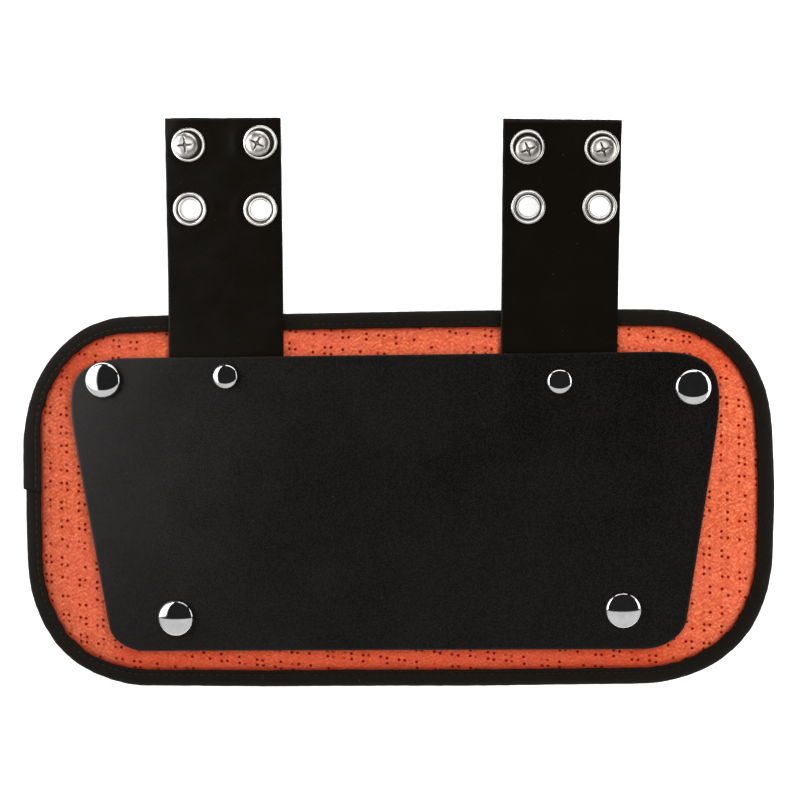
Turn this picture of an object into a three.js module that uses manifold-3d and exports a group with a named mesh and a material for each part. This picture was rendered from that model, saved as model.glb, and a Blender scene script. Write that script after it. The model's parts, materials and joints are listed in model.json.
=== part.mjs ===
// Football back plate: a mesh-covered foam pad with a taped edge, a rigid plate riveted to its
// front, and two webbing straps with eyelets that run out from under the plate's top edge.
// The part lies on its back: +Z comes out of the plate's front and +Y runs up the straps.
// The origin is the middle of the pad's back face. Lengths are in millimetres, angles in degrees.

import * as THREE from "three";
import { mergeVertices } from "three/addons/utils/BufferGeometryUtils.js";
import Module from "manifold-3d";

const wasm = await Module();
wasm.setup();

const gap = 0.3; // left between faces that touch
const overcut = 1; // how far a cutter runs past what it cuts
const roundSides = 16; // sides of every turned piece

// Pad: foam in a mesh cover
const padWidth = 324.5;
const padHeight = 162;
const padThickness = 14;
const frontShoulder = 9.3; // from the tape to where the front is full height
const backShoulder = 5.3; // from the tape to where the back lies flat
const backRise = 0.3; // share of the back's rise that comes in its outer half
// Elliptical corners, as shares of the pad's width and height
const padCorners = {
  top: { across: 0.144, down: 0.335 },
  bottom: { across: 0.165, down: 0.348 },
};

// Tape folded round the pad's edge
const tapeThickness = 1.1;
const tapeBead = 5; // depth of the tape's round outer bead
const tapeLip = 2.4; // flat stretch of tape inside the bead
const tapeLift = 1; // the tape's underside above the floor
const lapHeight = 4.3; // where the tape's top end stops, up the left side
const lapStep = 1.2; // how far the doubled tape stands out above that

// Plate: its margins run from the pad's edges to the sharp corners of its straight sides
const plateThickness = 3;
const plateEdgeRound = 0.6;
const plateTopMargin = 19.2;
const plateBottomMargin = 15.8;
const plateTopSideMargin = 17.7;
const plateBottomSideMargin = 40.2;
// Corners cut by curves: shares of the plate's height along the end and the side, and how far the
// curve's handles reach to the sharp corner
const plateCorners = {
  topLeft: { end: 0.26, side: 0.347, endPull: 0.94, sidePull: 0.75 },
  topRight: { end: 0.25, side: 0.34, endPull: 0.94, sidePull: 0.74 },
  bottomRight: { end: 0.134, side: 0.105, endPull: 0.6, sidePull: 0.55 },
  bottomLeft: { end: 0.105, side: 0.084, endPull: 0.45, sidePull: 0.6 },
};

// Straps: both are the same strip, riveted at slightly different places
const strapWidth = 50;
const strapThickness = 2.6;
const strapEdgeRound = 0.5;
const strapReach = 111.4; // rivet to free end, along the strap
const strapTail = 20; // rivet to hidden end
const strapBendStart = 2; // past the plate's top edge
const strapBendLength = 46;
const strapSideRoom = 0.5; // between a strap's side and the foam it is pressed into
// Where each strap's rivet is, across in shares of half the plate's top width
const straps = {
  left: { across: -0.499, belowPlateTop: 8.6, lean: 0.42, lift: 6.6 },
  right: { across: 0.4955, belowPlateTop: 12.4, lean: 1.15, lift: 12.4 },
};

// Eyelets, in a top row and a low row on each strap
const eyeletBore = 4.08; // radius
const eyeletWall = 0.6;
const eyeletRadius = 7.4;
const eyeletFront = 1.25; // height of the rolled front
const eyeletBack = 0.9; // thickness of the flat back washer
// The rolled front: shares of the way out from bore to rim, and of its height
const eyeletRoll = [
  { out: 0.94, up: 0.62 },
  { out: 0.66, up: 1 },
  { out: 0.3, up: 0.94 },
  { out: 0, up: 0.45 },
];
const eyeletInset = 9.5; // from the strap's side to the eyelet's middle
const topRowInset = 11.2; // from the strap's free end to the top row
const rowSpacing = 26.4;
// Each eyelet's place and how far it was set off it, across and along the strap
const eyelets = [
  { strap: "left", row: "top", side: "outer", shiftAcross: 0.3, shiftAlong: -0.3 },
  { strap: "left", row: "top", side: "inner", shiftAcross: 0.3, shiftAlong: 0.4 },
  { strap: "left", row: "low", side: "outer", shiftAcross: 0.4, shiftAlong: -1.2 },
  { strap: "left", row: "low", side: "inner", shiftAcross: -0.1, shiftAlong: -1.6 },
  { strap: "right", row: "top", side: "inner", shiftAcross: 0.6, shiftAlong: 0 },
  { strap: "right", row: "top", side: "outer", shiftAcross: 0.8, shiftAlong: -0.4 },
  { strap: "right", row: "low", side: "inner", shiftAcross: 1.2, shiftAlong: 1.2 },
  { strap: "right", row: "low", side: "outer", shiftAcross: 0.4, shiftAlong: 1.3 },
];

// Screws and nuts in the top row
const screwPlay = 1.5; // between shank and bore, all round
const screwHeadLap = 1.3; // of the head over the bore
const screwHeadHeight = 3;
// The head's dome: shares of its radius and height
const screwDome = [
  { out: 1, up: 0 },
  { out: 1, up: 0.3 },
  { out: 0.9, up: 0.66 },
  { out: 0.66, up: 0.91 },
  { out: 0, up: 1 },
];
const screwRecessWidth = 1.1;
const screwRecessLength = 5.6;
const screwRecessDepth = 1.5;
const screwTip = 1.5; // past the nut
const nutLand = 0.9; // of the nut's flats past the bore
const nutHeight = 4;
// How far each screw sits off its eyelet's middle, as shares of its room there, and how far its
// cross is turned
const screws = [
  { strap: "left", side: "outer", offAcross: -0.9, offAlong: -0.17, turn: 4 },
  { strap: "left", side: "inner", offAcross: -0.82, offAlong: -0.42, turn: -28 },
  { strap: "right", side: "inner", offAcross: 0.25, offAlong: -0.75, turn: 20 },
  { strap: "right", side: "outer", offAcross: 0.5, offAlong: -0.42, turn: 18 },
];

// Rivets: each has a dome in front, a post, and a flat tail
const rivetRadius = 7.75;
const rivetDome = 3.6;
const rivetPost = 2;
const rivetTailRadius = 6;
const rivetTailThickness = 1;
const rivetTailLift = 0.5; // the tail's face above the floor
const strapRivetRadius = 5.4;
const strapRivetDome = 2.6;
const strapRivetPost = 1.6;
const strapRivetTailRadius = 4;
const strapRivetTailThickness = 0.8;
const rivetRim = 0.5; // upright rim under a rivet's dome
const rivetCrownAngles = [88, 64, 42, 21, 0]; // of the points down a dome, from its axis
const postRoom = 0.3; // round a post, in what it passes through
const tailRoom = 0.5; // round a tail, in the foam
// Large rivets, in from the plate's slanted side and from its top or bottom edge
const cornerRivets = [
  { name: "rivet_top_left", side: -1, end: 1, fromSide: 17.4, fromEnd: 9.6 },
  { name: "rivet_top_right", side: 1, end: 1, fromSide: 13.5, fromEnd: 15.5 },
  { name: "rivet_bottom_right", side: 1, end: -1, fromSide: 27, fromEnd: 16.7 },
  { name: "rivet_bottom_left", side: -1, end: -1, fromSide: 30.1, fromEnd: 14.3 },
];

// Heights of the layers above the floor
const plateBack = padThickness + gap;
const plateFront = plateBack + plateThickness;
const strapFront = plateBack - gap;
const strapBack = strapFront - strapThickness;
const channelFloor = strapBack - gap;
const tapeFront = channelFloor;
const foamRimFront = tapeFront - tapeThickness - gap;
const foamRimBack = tapeLift + tapeThickness + gap;
const rimMiddle = (tapeFront + tapeLift) / 2;
const strapMiddle = (strapFront + strapBack) / 2;

// What else follows from the sizes above
const tapeCover = tapeBead + tapeLip;
const plateTop = padHeight / 2 - plateTopMargin;
const plateBottom = plateBottomMargin - padHeight / 2;
const plateHeight = plateTop - plateBottom;
const plateTopHalf = padWidth / 2 - plateTopSideMargin;
const plateBottomHalf = padWidth / 2 - plateBottomSideMargin;

const deg = THREE.MathUtils.degToRad;

const look = {
  mesh: new THREE.MeshStandardMaterial({ color: 0xdc6a4a, roughness: 0.85, metalness: 0 }),
  tape: new THREE.MeshStandardMaterial({ color: 0x1e1b18, roughness: 0.8, metalness: 0 }),
  plastic: new THREE.MeshStandardMaterial({ color: 0x1d1b1a, roughness: 0.5, metalness: 0 }),
  webbing: new THREE.MeshStandardMaterial({ color: 0x14120f, roughness: 0.6, metalness: 0 }),
  nickel: new THREE.MeshStandardMaterial({ color: 0xc9c6bf, roughness: 0.25, metalness: 1 }),
  steel: new THREE.MeshStandardMaterial({ color: 0xb9b6b0, roughness: 0.3, metalness: 1 }),
  chrome: new THREE.MeshStandardMaterial({ color: 0xe6e6e6, roughness: 0.08, metalness: 1 }),
};

// A closed body through rings of points that all run the same way round the line of travel.
// Joined rings close on themselves; otherwise both ends are capped from their middles.
function loft(rings, joined = false) {
  const count = rings[0].length;
  const points = rings.flat();
  const index = [];
  const spans = joined ? rings.length : rings.length - 1;
  for (let i = 0; i < spans; i++) {
    const near = i * count;
    const far = ((i + 1) % rings.length) * count;
    for (let j = 0; j < count; j++) {
      const k = (j + 1) % count;
      index.push(near + j, near + k, far + k);
      index.push(near + j, far + k, far + j);
    }
  }
  if (!joined) {
    const lastRing = (rings.length - 1) * count;
    const start = points.length;
    points.push(middleOf(rings[0]), middleOf(rings[rings.length - 1]));
    for (let j = 0; j < count; j++) {
      const k = (j + 1) % count;
      index.push(start, k, j);
      index.push(start + 1, lastRing + j, lastRing + k);
    }
  }
  const geometry = new THREE.BufferGeometry().setFromPoints(points);
  geometry.setIndex(index);
  return geometry;
}

function middleOf(ring) {
  const sum = new THREE.Vector3();
  for (const point of ring) sum.add(point);
  return sum.divideScalar(ring.length);
}

// three.js geometry to a solid for cutting, and back
function toSolid(geometry) {
  const bare = geometry.clone();
  bare.deleteAttribute("normal");
  bare.deleteAttribute("uv");
  const merged = mergeVertices(bare, 1e-4);
  const triVerts = [];
  for (let i = 0; i < merged.index.count; i += 3) {
    const [a, b, c] = merged.index.array.slice(i, i + 3);
    if (a !== b && b !== c && c !== a) triVerts.push(a, b, c);
  }
  const vertProperties = new Float32Array(merged.attributes.position.array);
  return new wasm.Manifold(
    new wasm.Mesh({ numProp: 3, vertProperties, triVerts: new Uint32Array(triVerts) }),
  );
}

function toGeometry(solid) {
  const mesh = solid.getMesh();
  const geometry = new THREE.BufferGeometry();
  geometry.setAttribute("position", new THREE.BufferAttribute(mesh.vertProperties, 3));
  geometry.setIndex(new THREE.BufferAttribute(mesh.triVerts, 1));
  geometry.computeVertexNormals();
  return geometry;
}

function cut(geometry, tools) {
  const body = tools.reduce((rest, tool) => rest.subtract(toSolid(tool)), toSolid(geometry));
  return toGeometry(body);
}

// A turned piece on the Z axis from a profile of [radius, height] pairs, lowest first
function turned(profile) {
  const points = profile.map(([radius, height]) => new THREE.Vector2(radius, height));
  return new THREE.LatheGeometry(points, roundSides).rotateX(Math.PI / 2);
}

// A round cutter on the Z axis between two heights
function bore(radius, low, high) {
  return turned([
    [0, low],
    [radius, low],
    [radius, high],
    [0, high],
  ]);
}

// The pad's outline, anticlockwise from above: points with outward normals
function padOutline() {
  const steps = 12;
  const outline = [];
  const quadrants = [
    { sx: 1, sy: 1, corner: padCorners.top, start: 0 },
    { sx: -1, sy: 1, corner: padCorners.top, start: 90 },
    { sx: -1, sy: -1, corner: padCorners.bottom, start: 180 },
    { sx: 1, sy: -1, corner: padCorners.bottom, start: 270 },
  ];
  for (const { sx, sy, corner, start } of quadrants) {
    const a = corner.across * padWidth;
    const b = corner.down * padHeight;
    const middle = new THREE.Vector2(sx * (padWidth / 2 - a), sy * (padHeight / 2 - b));
    for (let i = 0; i <= steps; i++) {
      const angle = deg(start + (90 * i) / steps);
      const ex = Math.cos(angle);
      const ey = Math.sin(angle);
      const normal = new THREE.Vector2(ex / a, ey / b).normalize();
      outline.push({ x: middle.x + a * ex, y: middle.y + b * ey, normal, lap: 0 });
    }
    if (start === 90) outline.push(...lapPoints());
  }
  return outline;
}

// Extra points down the straight left side, where the tape is doubled: lap grows from the corner
// down to lapHeight, where the tape's top end stops and the single tape goes on
function lapPoints() {
  const straightTop = padHeight / 2 - padCorners.top.down * padHeight;
  const normal = new THREE.Vector2(-1, 0);
  const x = -padWidth / 2;
  const doubled = [0.35, 0.7, 1].map((lap) => {
    return { x, y: THREE.MathUtils.lerp(straightTop, lapHeight, lap), normal, lap };
  });
  return [...doubled, { x, y: lapHeight - gap, normal, lap: 0 }];
}

function ringAt(outline, inset, height) {
  return outline.map(
    ({ x, y, normal }) => new THREE.Vector3(x - normal.x * inset, y - normal.y * inset, height),
  );
}

// Foam: from the flat back, up the round rim inside the tape, and over the shoulder to the front
function padGeometry() {
  const outline = padOutline();
  const rimDepth = tapeBead - tapeThickness - gap;
  const rimHalf = (foamRimFront - foamRimBack) / 2;
  const lip = tapeCover + gap;
  const rings = [
    ringAt(outline, lip + backShoulder, 0),
    ringAt(outline, lip + backShoulder / 2, foamRimBack * backRise),
    ringAt(outline, lip, foamRimBack),
  ];
  for (const angle of [-90, -45, 0, 45, 90]) {
    const inset = tapeBead - rimDepth * Math.cos(deg(angle));
    rings.push(ringAt(outline, inset, rimMiddle + rimHalf * Math.sin(deg(angle))));
  }
  const shoulderSteps = 4;
  for (let i = 0; i <= shoulderSteps; i++) {
    const share = i / shoulderSteps;
    const rise = (padThickness - foamRimFront) * Math.sin((share * Math.PI) / 2);
    rings.push(ringAt(outline, lip + frontShoulder * share, foamRimFront + rise));
  }
  return cut(loft(rings), [...strapChannels(), ...rivetHoles(), ...strapRivetPockets()]);
}

function strapChannels() {
  return Object.values(straps).map((strap) => {
    const width = strapWidth + 2 * strapSideRoom;
    const low = -strapTail - strapSideRoom;
    const high = padHeight;
    const depth = padThickness;
    const box = new THREE.BoxGeometry(width, high - low, depth);
    box.translate(0, (high + low) / 2, channelFloor + depth / 2);
    return box.applyMatrix4(strapMatrix(strap));
  });
}

function rivetHoles() {
  return cornerRivets.flatMap((rivet) => {
    const { x, y } = cornerRivetPlace(rivet);
    const hole = bore(rivetPost + postRoom, -overcut, padThickness + overcut);
    const pocketTop = rivetTailLift + rivetTailThickness + gap;
    const pocket = bore(rivetTailRadius + tailRoom, -overcut, pocketTop);
    return [hole.translate(x, y, 0), pocket.translate(x, y, 0)];
  });
}

function strapRivetPockets() {
  return Object.values(straps).map((strap) => {
    const { x, y } = strapRivetPlace(strap);
    const floor = strapBack - 2 * gap - strapRivetTailThickness;
    return bore(strapRivetTailRadius + tailRoom, floor, padThickness).translate(x, y, 0);
  });
}

// Tape: a C-shaped section carried round the outline, open to the inside. Where it is doubled, grow
// makes it thicker outwards and in front.
function tapeSection(grow) {
  const half = (tapeFront - tapeLift) / 2;
  const hollowHalf = half - tapeThickness;
  const hollowDepth = tapeBead - tapeThickness;
  const frontHalf = half + grow / 2;
  const outside = [90, 60, 30, 0, -30, -60, -90].map((angle) => ({
    inset: tapeBead - (tapeBead + grow) * Math.cos(deg(angle)),
    height: (angle > 0 ? frontHalf : half) * Math.sin(deg(angle)),
  }));
  const inside = [-90, -45, 0, 45, 90].map((angle) => ({
    inset: tapeBead - hollowDepth * Math.cos(deg(angle)),
    height: hollowHalf * Math.sin(deg(angle)),
  }));
  return [
    { inset: tapeCover, height: frontHalf },
    ...outside,
    { inset: tapeCover, height: -half },
    { inset: tapeCover, height: -hollowHalf },
    ...inside,
    { inset: tapeCover, height: hollowHalf },
  ];
}

function bindingGeometry() {
  const rings = padOutline().map(({ x, y, normal, lap }) =>
    tapeSection(lap * lapStep).map(
      ({ inset, height }) =>
        new THREE.Vector3(x - normal.x * inset, y - normal.y * inset, rimMiddle + height),
    ),
  );
  return loft(rings, true);
}

// Half the plate's width between its slanted sides at height y up the part
function plateHalfWidth(y) {
  return THREE.MathUtils.mapLinear(y, plateBottom, plateTop, plateBottomHalf, plateTopHalf);
}

function cornerRivetPlace({ side, end, fromSide, fromEnd }) {
  const y = end > 0 ? plateTop - fromEnd : plateBottom + fromEnd;
  return { x: side * (plateHalfWidth(y) - fromSide), y };
}

function strapRivetPlace(strap) {
  return { x: strap.across * plateTopHalf, y: plateTop - strap.belowPlateTop };
}

function plateShape() {
  const corner = (side, y) => new THREE.Vector2(side * plateHalfWidth(y), y);
  const sharp = [
    { at: corner(1, plateTop), curve: plateCorners.topRight, endFirst: false },
    { at: corner(-1, plateTop), curve: plateCorners.topLeft, endFirst: true },
    { at: corner(-1, plateBottom), curve: plateCorners.bottomLeft, endFirst: false },
    { at: corner(1, plateBottom), curve: plateCorners.bottomRight, endFirst: true },
  ];
  const shape = new THREE.Shape();
  sharp.forEach(({ at, curve, endFirst }, i) => {
    const before = sharp[(i + 3) % 4].at;
    const after = sharp[(i + 1) % 4].at;
    const endCut = { length: curve.end * plateHeight, pull: curve.endPull };
    const sideCut = { length: curve.side * plateHeight, pull: curve.sidePull };
    const [first, second] = endFirst ? [endCut, sideCut] : [sideCut, endCut];
    const enter = at.clone().add(before.clone().sub(at).setLength(first.length));
    const leave = at.clone().add(after.clone().sub(at).setLength(second.length));
    const enterHandle = enter.clone().lerp(at, first.pull);
    const leaveHandle = leave.clone().lerp(at, second.pull);
    if (i === 0) shape.moveTo(enter.x, enter.y);
    else shape.lineTo(enter.x, enter.y);
    shape.bezierCurveTo(enterHandle.x, enterHandle.y, leaveHandle.x, leaveHandle.y, leave.x, leave.y);
  });
  shape.closePath();
  return shape;
}

function plateGeometry() {
  const shape = plateShape();
  const plate = new THREE.ExtrudeGeometry(shape, {
    depth: plateThickness - 2 * plateEdgeRound,
    bevelThickness: plateEdgeRound,
    bevelSize: plateEdgeRound,
    bevelOffset: -plateEdgeRound,
    bevelSegments: 2,
    curveSegments: 9,
  });
  plate.translate(0, 0, plateBack + plateEdgeRound);
  const holes = [];
  for (const rivet of cornerRivets) {
    const { x, y } = cornerRivetPlace(rivet);
    holes.push(plateHole(rivetPost).translate(x, y, 0));
  }
  for (const strap of Object.values(straps)) {
    const { x, y } = strapRivetPlace(strap);
    holes.push(plateHole(strapRivetPost).translate(x, y, 0));
  }
  return cut(plate, holes);
}

function plateHole(post) {
  return bore(post + postRoom, plateBack - overcut, plateFront + overcut);
}

// A strap's own frame: origin at its rivet on the floor, +Y along the strap
function strapMatrix(strap) {
  const { x, y } = strapRivetPlace(strap);
  const turn = new THREE.Matrix4().makeRotationZ(-deg(strap.lean));
  return new THREE.Matrix4().makeTranslation(x, y, 0).multiply(turn);
}

// Where the middle of a strap is, at a length along it from its rivet, and how much it slopes there:
// flat under the plate, an even bend past the plate's edge, then straight to the free end
function strapAt(strap, along) {
  const bendStart = strap.belowPlateTop + strapBendStart;
  const lift = deg(strap.lift);
  const radius = strapBendLength / lift;
  const bent = THREE.MathUtils.clamp(along - bendStart, 0, strapBendLength);
  const slope = bent / radius;
  const rest = along - bendStart - bent;
  const y = bendStart + radius * Math.sin(slope) + rest * Math.cos(slope);
  const z = strapMiddle + radius * (1 - Math.cos(slope)) + rest * Math.sin(slope);
  return { y, z, slope };
}

function strapGeometry(strapName) {
  const strap = straps[strapName];
  const half = strapWidth / 2;
  const thin = strapThickness / 2;
  const round = strapEdgeRound;
  const section = [
    [-half + round, thin],
    [half - round, thin],
    [half, thin - round],
    [half, round - thin],
    [half - round, -thin],
    [round - half, -thin],
    [-half, round - thin],
    [-half, thin - round],
  ];
  const bendStart = strap.belowPlateTop + strapBendStart;
  const bendSteps = 8;
  const stations = [-strapTail];
  for (let i = 0; i <= bendSteps; i++) stations.push(bendStart + (strapBendLength * i) / bendSteps);
  stations.push(strapReach);
  const rings = stations.map((along) => {
    const { y, z, slope } = strapAt(strap, along);
    return section.map(
      ([x, up]) => new THREE.Vector3(x, y - up * Math.sin(slope), z + up * Math.cos(slope)),
    );
  });
  const holes = eyelets
    .filter((eyelet) => eyelet.strap === strapName)
    .map((eyelet) => {
      const hole = bore(eyeletBore + eyeletWall + gap, -strapThickness, strapThickness);
      return hole.applyMatrix4(eyeletMatrix(eyelet));
    });
  const rivetHole = bore(strapRivetPost + postRoom, strapBack - overcut, strapFront + overcut);
  return cut(loft(rings), [...holes, rivetHole]);
}

// An eyelet's frame on its strap: the middle of its bore, with +Z out of the strap's front
function eyeletMatrix({ strap, row, side, shiftAcross, shiftAlong }) {
  const outwards = strap === "left" ? -1 : 1;
  const sign = side === "outer" ? outwards : -outwards;
  const across = sign * (strapWidth / 2 - eyeletInset) + shiftAcross;
  const rowPlace = strapReach - topRowInset - (row === "low" ? rowSpacing : 0);
  const { y, z, slope } = strapAt(straps[strap], rowPlace + shiftAlong);
  const tilt = new THREE.Matrix4().makeRotationX(slope);
  return new THREE.Matrix4().makeTranslation(across, y, z).multiply(tilt);
}

const flangeFace = strapThickness / 2 + gap; // an eyelet's flanges, from the strap's middle
const backFace = flangeFace + eyeletBack;

// Rolled front, barrel and flat back washer in one
function eyeletGeometry() {
  const barrel = eyeletBore + eyeletWall;
  const land = eyeletRadius - eyeletBore;
  const roll = eyeletRoll.map(({ out, up }) => [
    eyeletBore + out * land,
    flangeFace + up * eyeletFront,
  ]);
  return turned([
    [eyeletBore, -backFace],
    [eyeletRadius, -backFace],
    [eyeletRadius, -flangeFace],
    [barrel, -flangeFace],
    [barrel, flangeFace],
    [eyeletRadius, flangeFace],
    ...roll,
    [eyeletBore, -backFace],
  ]);
}

const screwSeat = flangeFace + eyeletFront + gap; // under a screw's head, from the strap's middle
const nutFace = backFace + gap;
const shankRadius = eyeletBore - screwPlay;

function screwGeometry(turn) {
  const headRadius = eyeletBore + screwHeadLap;
  const tip = -nutFace - nutHeight - screwTip;
  const dome = screwDome.map(({ out, up }) => [
    out * headRadius,
    screwSeat + up * screwHeadHeight,
  ]);
  const body = turned([[0, tip], [shankRadius, tip], [shankRadius, screwSeat], ...dome]);
  const depth = 2 * screwRecessDepth;
  const top = screwSeat + screwHeadHeight;
  const arms = [
    new THREE.BoxGeometry(screwRecessLength, screwRecessWidth, depth),
    new THREE.BoxGeometry(screwRecessWidth, screwRecessLength, depth),
  ];
  for (const arm of arms) arm.rotateZ(deg(turn)).translate(0, 0, top);
  return cut(body, arms);
}

function nutGeometry() {
  const flats = eyeletBore + nutLand;
  const corner = flats / Math.cos(Math.PI / 6);
  const hexagon = new THREE.Shape();
  for (let i = 0; i < 6; i++) {
    const angle = (i * Math.PI) / 3;
    const x = corner * Math.cos(angle);
    const y = corner * Math.sin(angle);
    if (i === 0) hexagon.moveTo(x, y);
    else hexagon.lineTo(x, y);
  }
  const hole = new THREE.Path().absarc(0, 0, shankRadius + gap, 0, 2 * Math.PI, true);
  hexagon.holes.push(hole);
  const nut = new THREE.ExtrudeGeometry(hexagon, {
    depth: nutHeight,
    bevelEnabled: false,
    curveSegments: roundSides / 2,
  });
  return nut.translate(0, 0, -nutFace - nutHeight);
}

// A rivet on the Z axis: tail, post and dome
function rivetGeometry({ radius, dome, post, tailRadius, tailBack, tailFront }) {
  const seat = plateFront + gap;
  const crown = rivetCrownAngles.map((angle) => [
    radius * Math.sin(deg(angle)),
    seat + rivetRim + (dome - rivetRim) * Math.cos(deg(angle)),
  ]);
  return turned([
    [0, tailBack],
    [tailRadius, tailBack],
    [tailRadius, tailFront],
    [post, tailFront],
    [post, seat],
    [radius, seat],
    ...crown,
  ]);
}

function cornerRivetGeometry() {
  return rivetGeometry({
    radius: rivetRadius,
    dome: rivetDome,
    post: rivetPost,
    tailRadius: rivetTailRadius,
    tailBack: rivetTailLift,
    tailFront: rivetTailLift + rivetTailThickness,
  });
}

function strapRivetGeometry() {
  return rivetGeometry({
    radius: strapRivetRadius,
    dome: strapRivetDome,
    post: strapRivetPost,
    tailRadius: strapRivetTailRadius,
    tailBack: strapBack - gap - strapRivetTailThickness,
    tailFront: strapBack - gap,
  });
}

function piece(name, geometry, material) {
  const mesh = new THREE.Mesh(geometry, material);
  mesh.name = name;
  return mesh;
}

function placed(mesh, matrix) {
  matrix.decompose(mesh.position, mesh.quaternion, mesh.scale);
  return mesh;
}

// The screw and nut in one top eyelet, off its middle by the screw's own amount
function screwAndNut({ strap, side, offAcross, offAlong, turn }) {
  const eyelet = eyelets.find((e) => e.strap === strap && e.side === side && e.row === "top");
  const room = screwPlay - gap;
  const off = new THREE.Matrix4().makeTranslation(offAcross * room, offAlong * room, 0);
  const matrix = eyeletMatrix(eyelet).multiply(off);
  const screw = piece(`screw_${strap}_${side}`, screwGeometry(turn), look.steel);
  const nut = piece(`nut_${strap}_${side}`, nutGeometry(), look.steel);
  return [placed(screw, matrix), placed(nut, matrix)];
}

const backPlate = new THREE.Group();
backPlate.add(piece("pad", padGeometry(), look.mesh));
backPlate.add(piece("edge_binding", bindingGeometry(), look.tape));
backPlate.add(piece("back_plate", plateGeometry(), look.plastic));

for (const rivet of cornerRivets) {
  const mesh = piece(rivet.name, cornerRivetGeometry(), look.chrome);
  const { x, y } = cornerRivetPlace(rivet);
  mesh.position.set(x, y, 0);
  backPlate.add(mesh);
}

for (const name of Object.keys(straps)) {
  const group = placed(new THREE.Group(), strapMatrix(straps[name]));
  group.add(piece(`strap_${name}`, strapGeometry(name), look.webbing));
  group.add(piece(`strap_rivet_${name}`, strapRivetGeometry(), look.chrome));
  for (const eyelet of eyelets.filter((e) => e.strap === name)) {
    const mesh = piece(`eyelet_${name}_${eyelet.row}_${eyelet.side}`, eyeletGeometry(), look.nickel);
    group.add(placed(mesh, eyeletMatrix(eyelet)));
  }
  for (const screw of screws.filter((s) => s.strap === name)) group.add(...screwAndNut(screw));
  backPlate.add(group);
}

export default backPlate;
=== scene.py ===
import json
import math

import bmesh
import bpy
import numpy as np
from mathutils import Matrix, Vector, noise
from mathutils.kdtree import KDTree

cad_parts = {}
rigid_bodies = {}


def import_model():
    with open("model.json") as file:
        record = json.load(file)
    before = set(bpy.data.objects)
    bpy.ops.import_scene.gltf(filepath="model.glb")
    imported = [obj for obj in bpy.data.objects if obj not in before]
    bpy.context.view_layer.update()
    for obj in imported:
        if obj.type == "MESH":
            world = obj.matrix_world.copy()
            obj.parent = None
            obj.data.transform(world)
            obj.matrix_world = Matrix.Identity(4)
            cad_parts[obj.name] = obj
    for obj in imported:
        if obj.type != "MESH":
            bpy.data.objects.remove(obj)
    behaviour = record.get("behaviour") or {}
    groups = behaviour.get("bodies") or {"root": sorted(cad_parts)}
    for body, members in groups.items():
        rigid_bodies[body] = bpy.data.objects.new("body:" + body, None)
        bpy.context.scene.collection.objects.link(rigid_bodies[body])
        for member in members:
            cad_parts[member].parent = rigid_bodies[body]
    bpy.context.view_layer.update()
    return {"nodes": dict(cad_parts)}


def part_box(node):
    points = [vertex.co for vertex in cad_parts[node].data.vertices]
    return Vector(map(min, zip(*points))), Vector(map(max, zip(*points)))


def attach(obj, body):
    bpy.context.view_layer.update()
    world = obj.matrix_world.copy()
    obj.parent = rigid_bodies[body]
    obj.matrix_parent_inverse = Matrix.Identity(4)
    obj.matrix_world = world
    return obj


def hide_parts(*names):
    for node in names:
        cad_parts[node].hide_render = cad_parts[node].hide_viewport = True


# A football back plate lying on its back: foam pad in orange mesh with a taped edge, a black plate
# riveted to its front, two webbing straps with eyelets and screws. Metres, +Z up, +Y up the straps.

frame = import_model()
mm = 0.001
rootBody = "root"
print("frame loaded:", len(frame["nodes"]), "nodes")


# Camera, from the photo's perspective

photo = {
    "size": 800,                   # pixels along each side
    "originAt": (395.81, 498.38),  # pixel where the part's origin shows, also the lens axis
    "perMetre": 2283.57,           # pixels to the metre at the origin
    "distance": 0.9146,            # camera to origin
    "sensor": 36.0,
    "yaw": 3.43,                   # the right side is nearer
    "pitch": 0.27,
    "roll": 0.48,
}


def addCamera():
    data = bpy.data.cameras.new("photoCamera")
    data.sensor_width = photo["sensor"]
    data.lens = photo["sensor"] * photo["perMetre"] * photo["distance"] / photo["size"]
    half = photo["size"] / 2
    data.shift_x = (half - photo["originAt"][0]) / photo["size"]
    data.shift_y = (photo["originAt"][1] - half) / photo["size"]
    turn = Matrix.Rotation(math.radians(photo["roll"]), 4, "Z")
    turn @= Matrix.Rotation(math.radians(photo["pitch"]), 4, "X")
    turn @= Matrix.Rotation(math.radians(-photo["yaw"]), 4, "Y")
    camera = bpy.data.objects.new("photoCamera", data)
    bpy.context.scene.collection.objects.link(camera)
    camera.matrix_world = turn.inverted() @ Matrix.Translation((0, 0, photo["distance"]))
    bpy.context.scene.camera = camera


addCamera()
print("camera placed")


# Node helpers

def feed(tree, socket, value):
    if isinstance(value, bpy.types.NodeSocket):
        tree.links.new(value, socket)
    else:
        socket.default_value = value


def put(tree, kind, inputs=None, **settings):
    node = tree.nodes.new(kind)
    for key, value in settings.items():
        setattr(node, key, value)
    for key, value in (inputs or {}).items():
        feed(tree, node.inputs[key], value)
    return node


def calc(tree, operation, *values, clamp=False):
    node = put(tree, "ShaderNodeMath", operation=operation, use_clamp=clamp)
    for socket, value in zip(node.inputs, values):
        feed(tree, socket, value)
    return node.outputs[0]


def smoothStep(tree, value, low, high, toLow=0.0, toHigh=1.0):
    node = put(tree, "ShaderNodeMapRange", interpolation_type="SMOOTHSTEP")
    for socket, given in zip(node.inputs, (value, low, high, toLow, toHigh)):
        feed(tree, socket, given)
    return node.outputs[0]


def mixColour(tree, share, low, high, blend="MIX"):
    node = put(tree, "ShaderNodeMix", data_type="RGBA", blend_type=blend)
    feed(tree, node.inputs[0], share)
    feed(tree, node.inputs[6], low)
    feed(tree, node.inputs[7], high)
    return node.outputs[2]


def noiseValue(tree, vector, scale, detail=2.0, roughness=0.5):
    inputs = {"Vector": vector, "Scale": scale, "Detail": detail, "Roughness": roughness}
    return put(tree, "ShaderNodeTexNoise", inputs).outputs[0]


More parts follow.
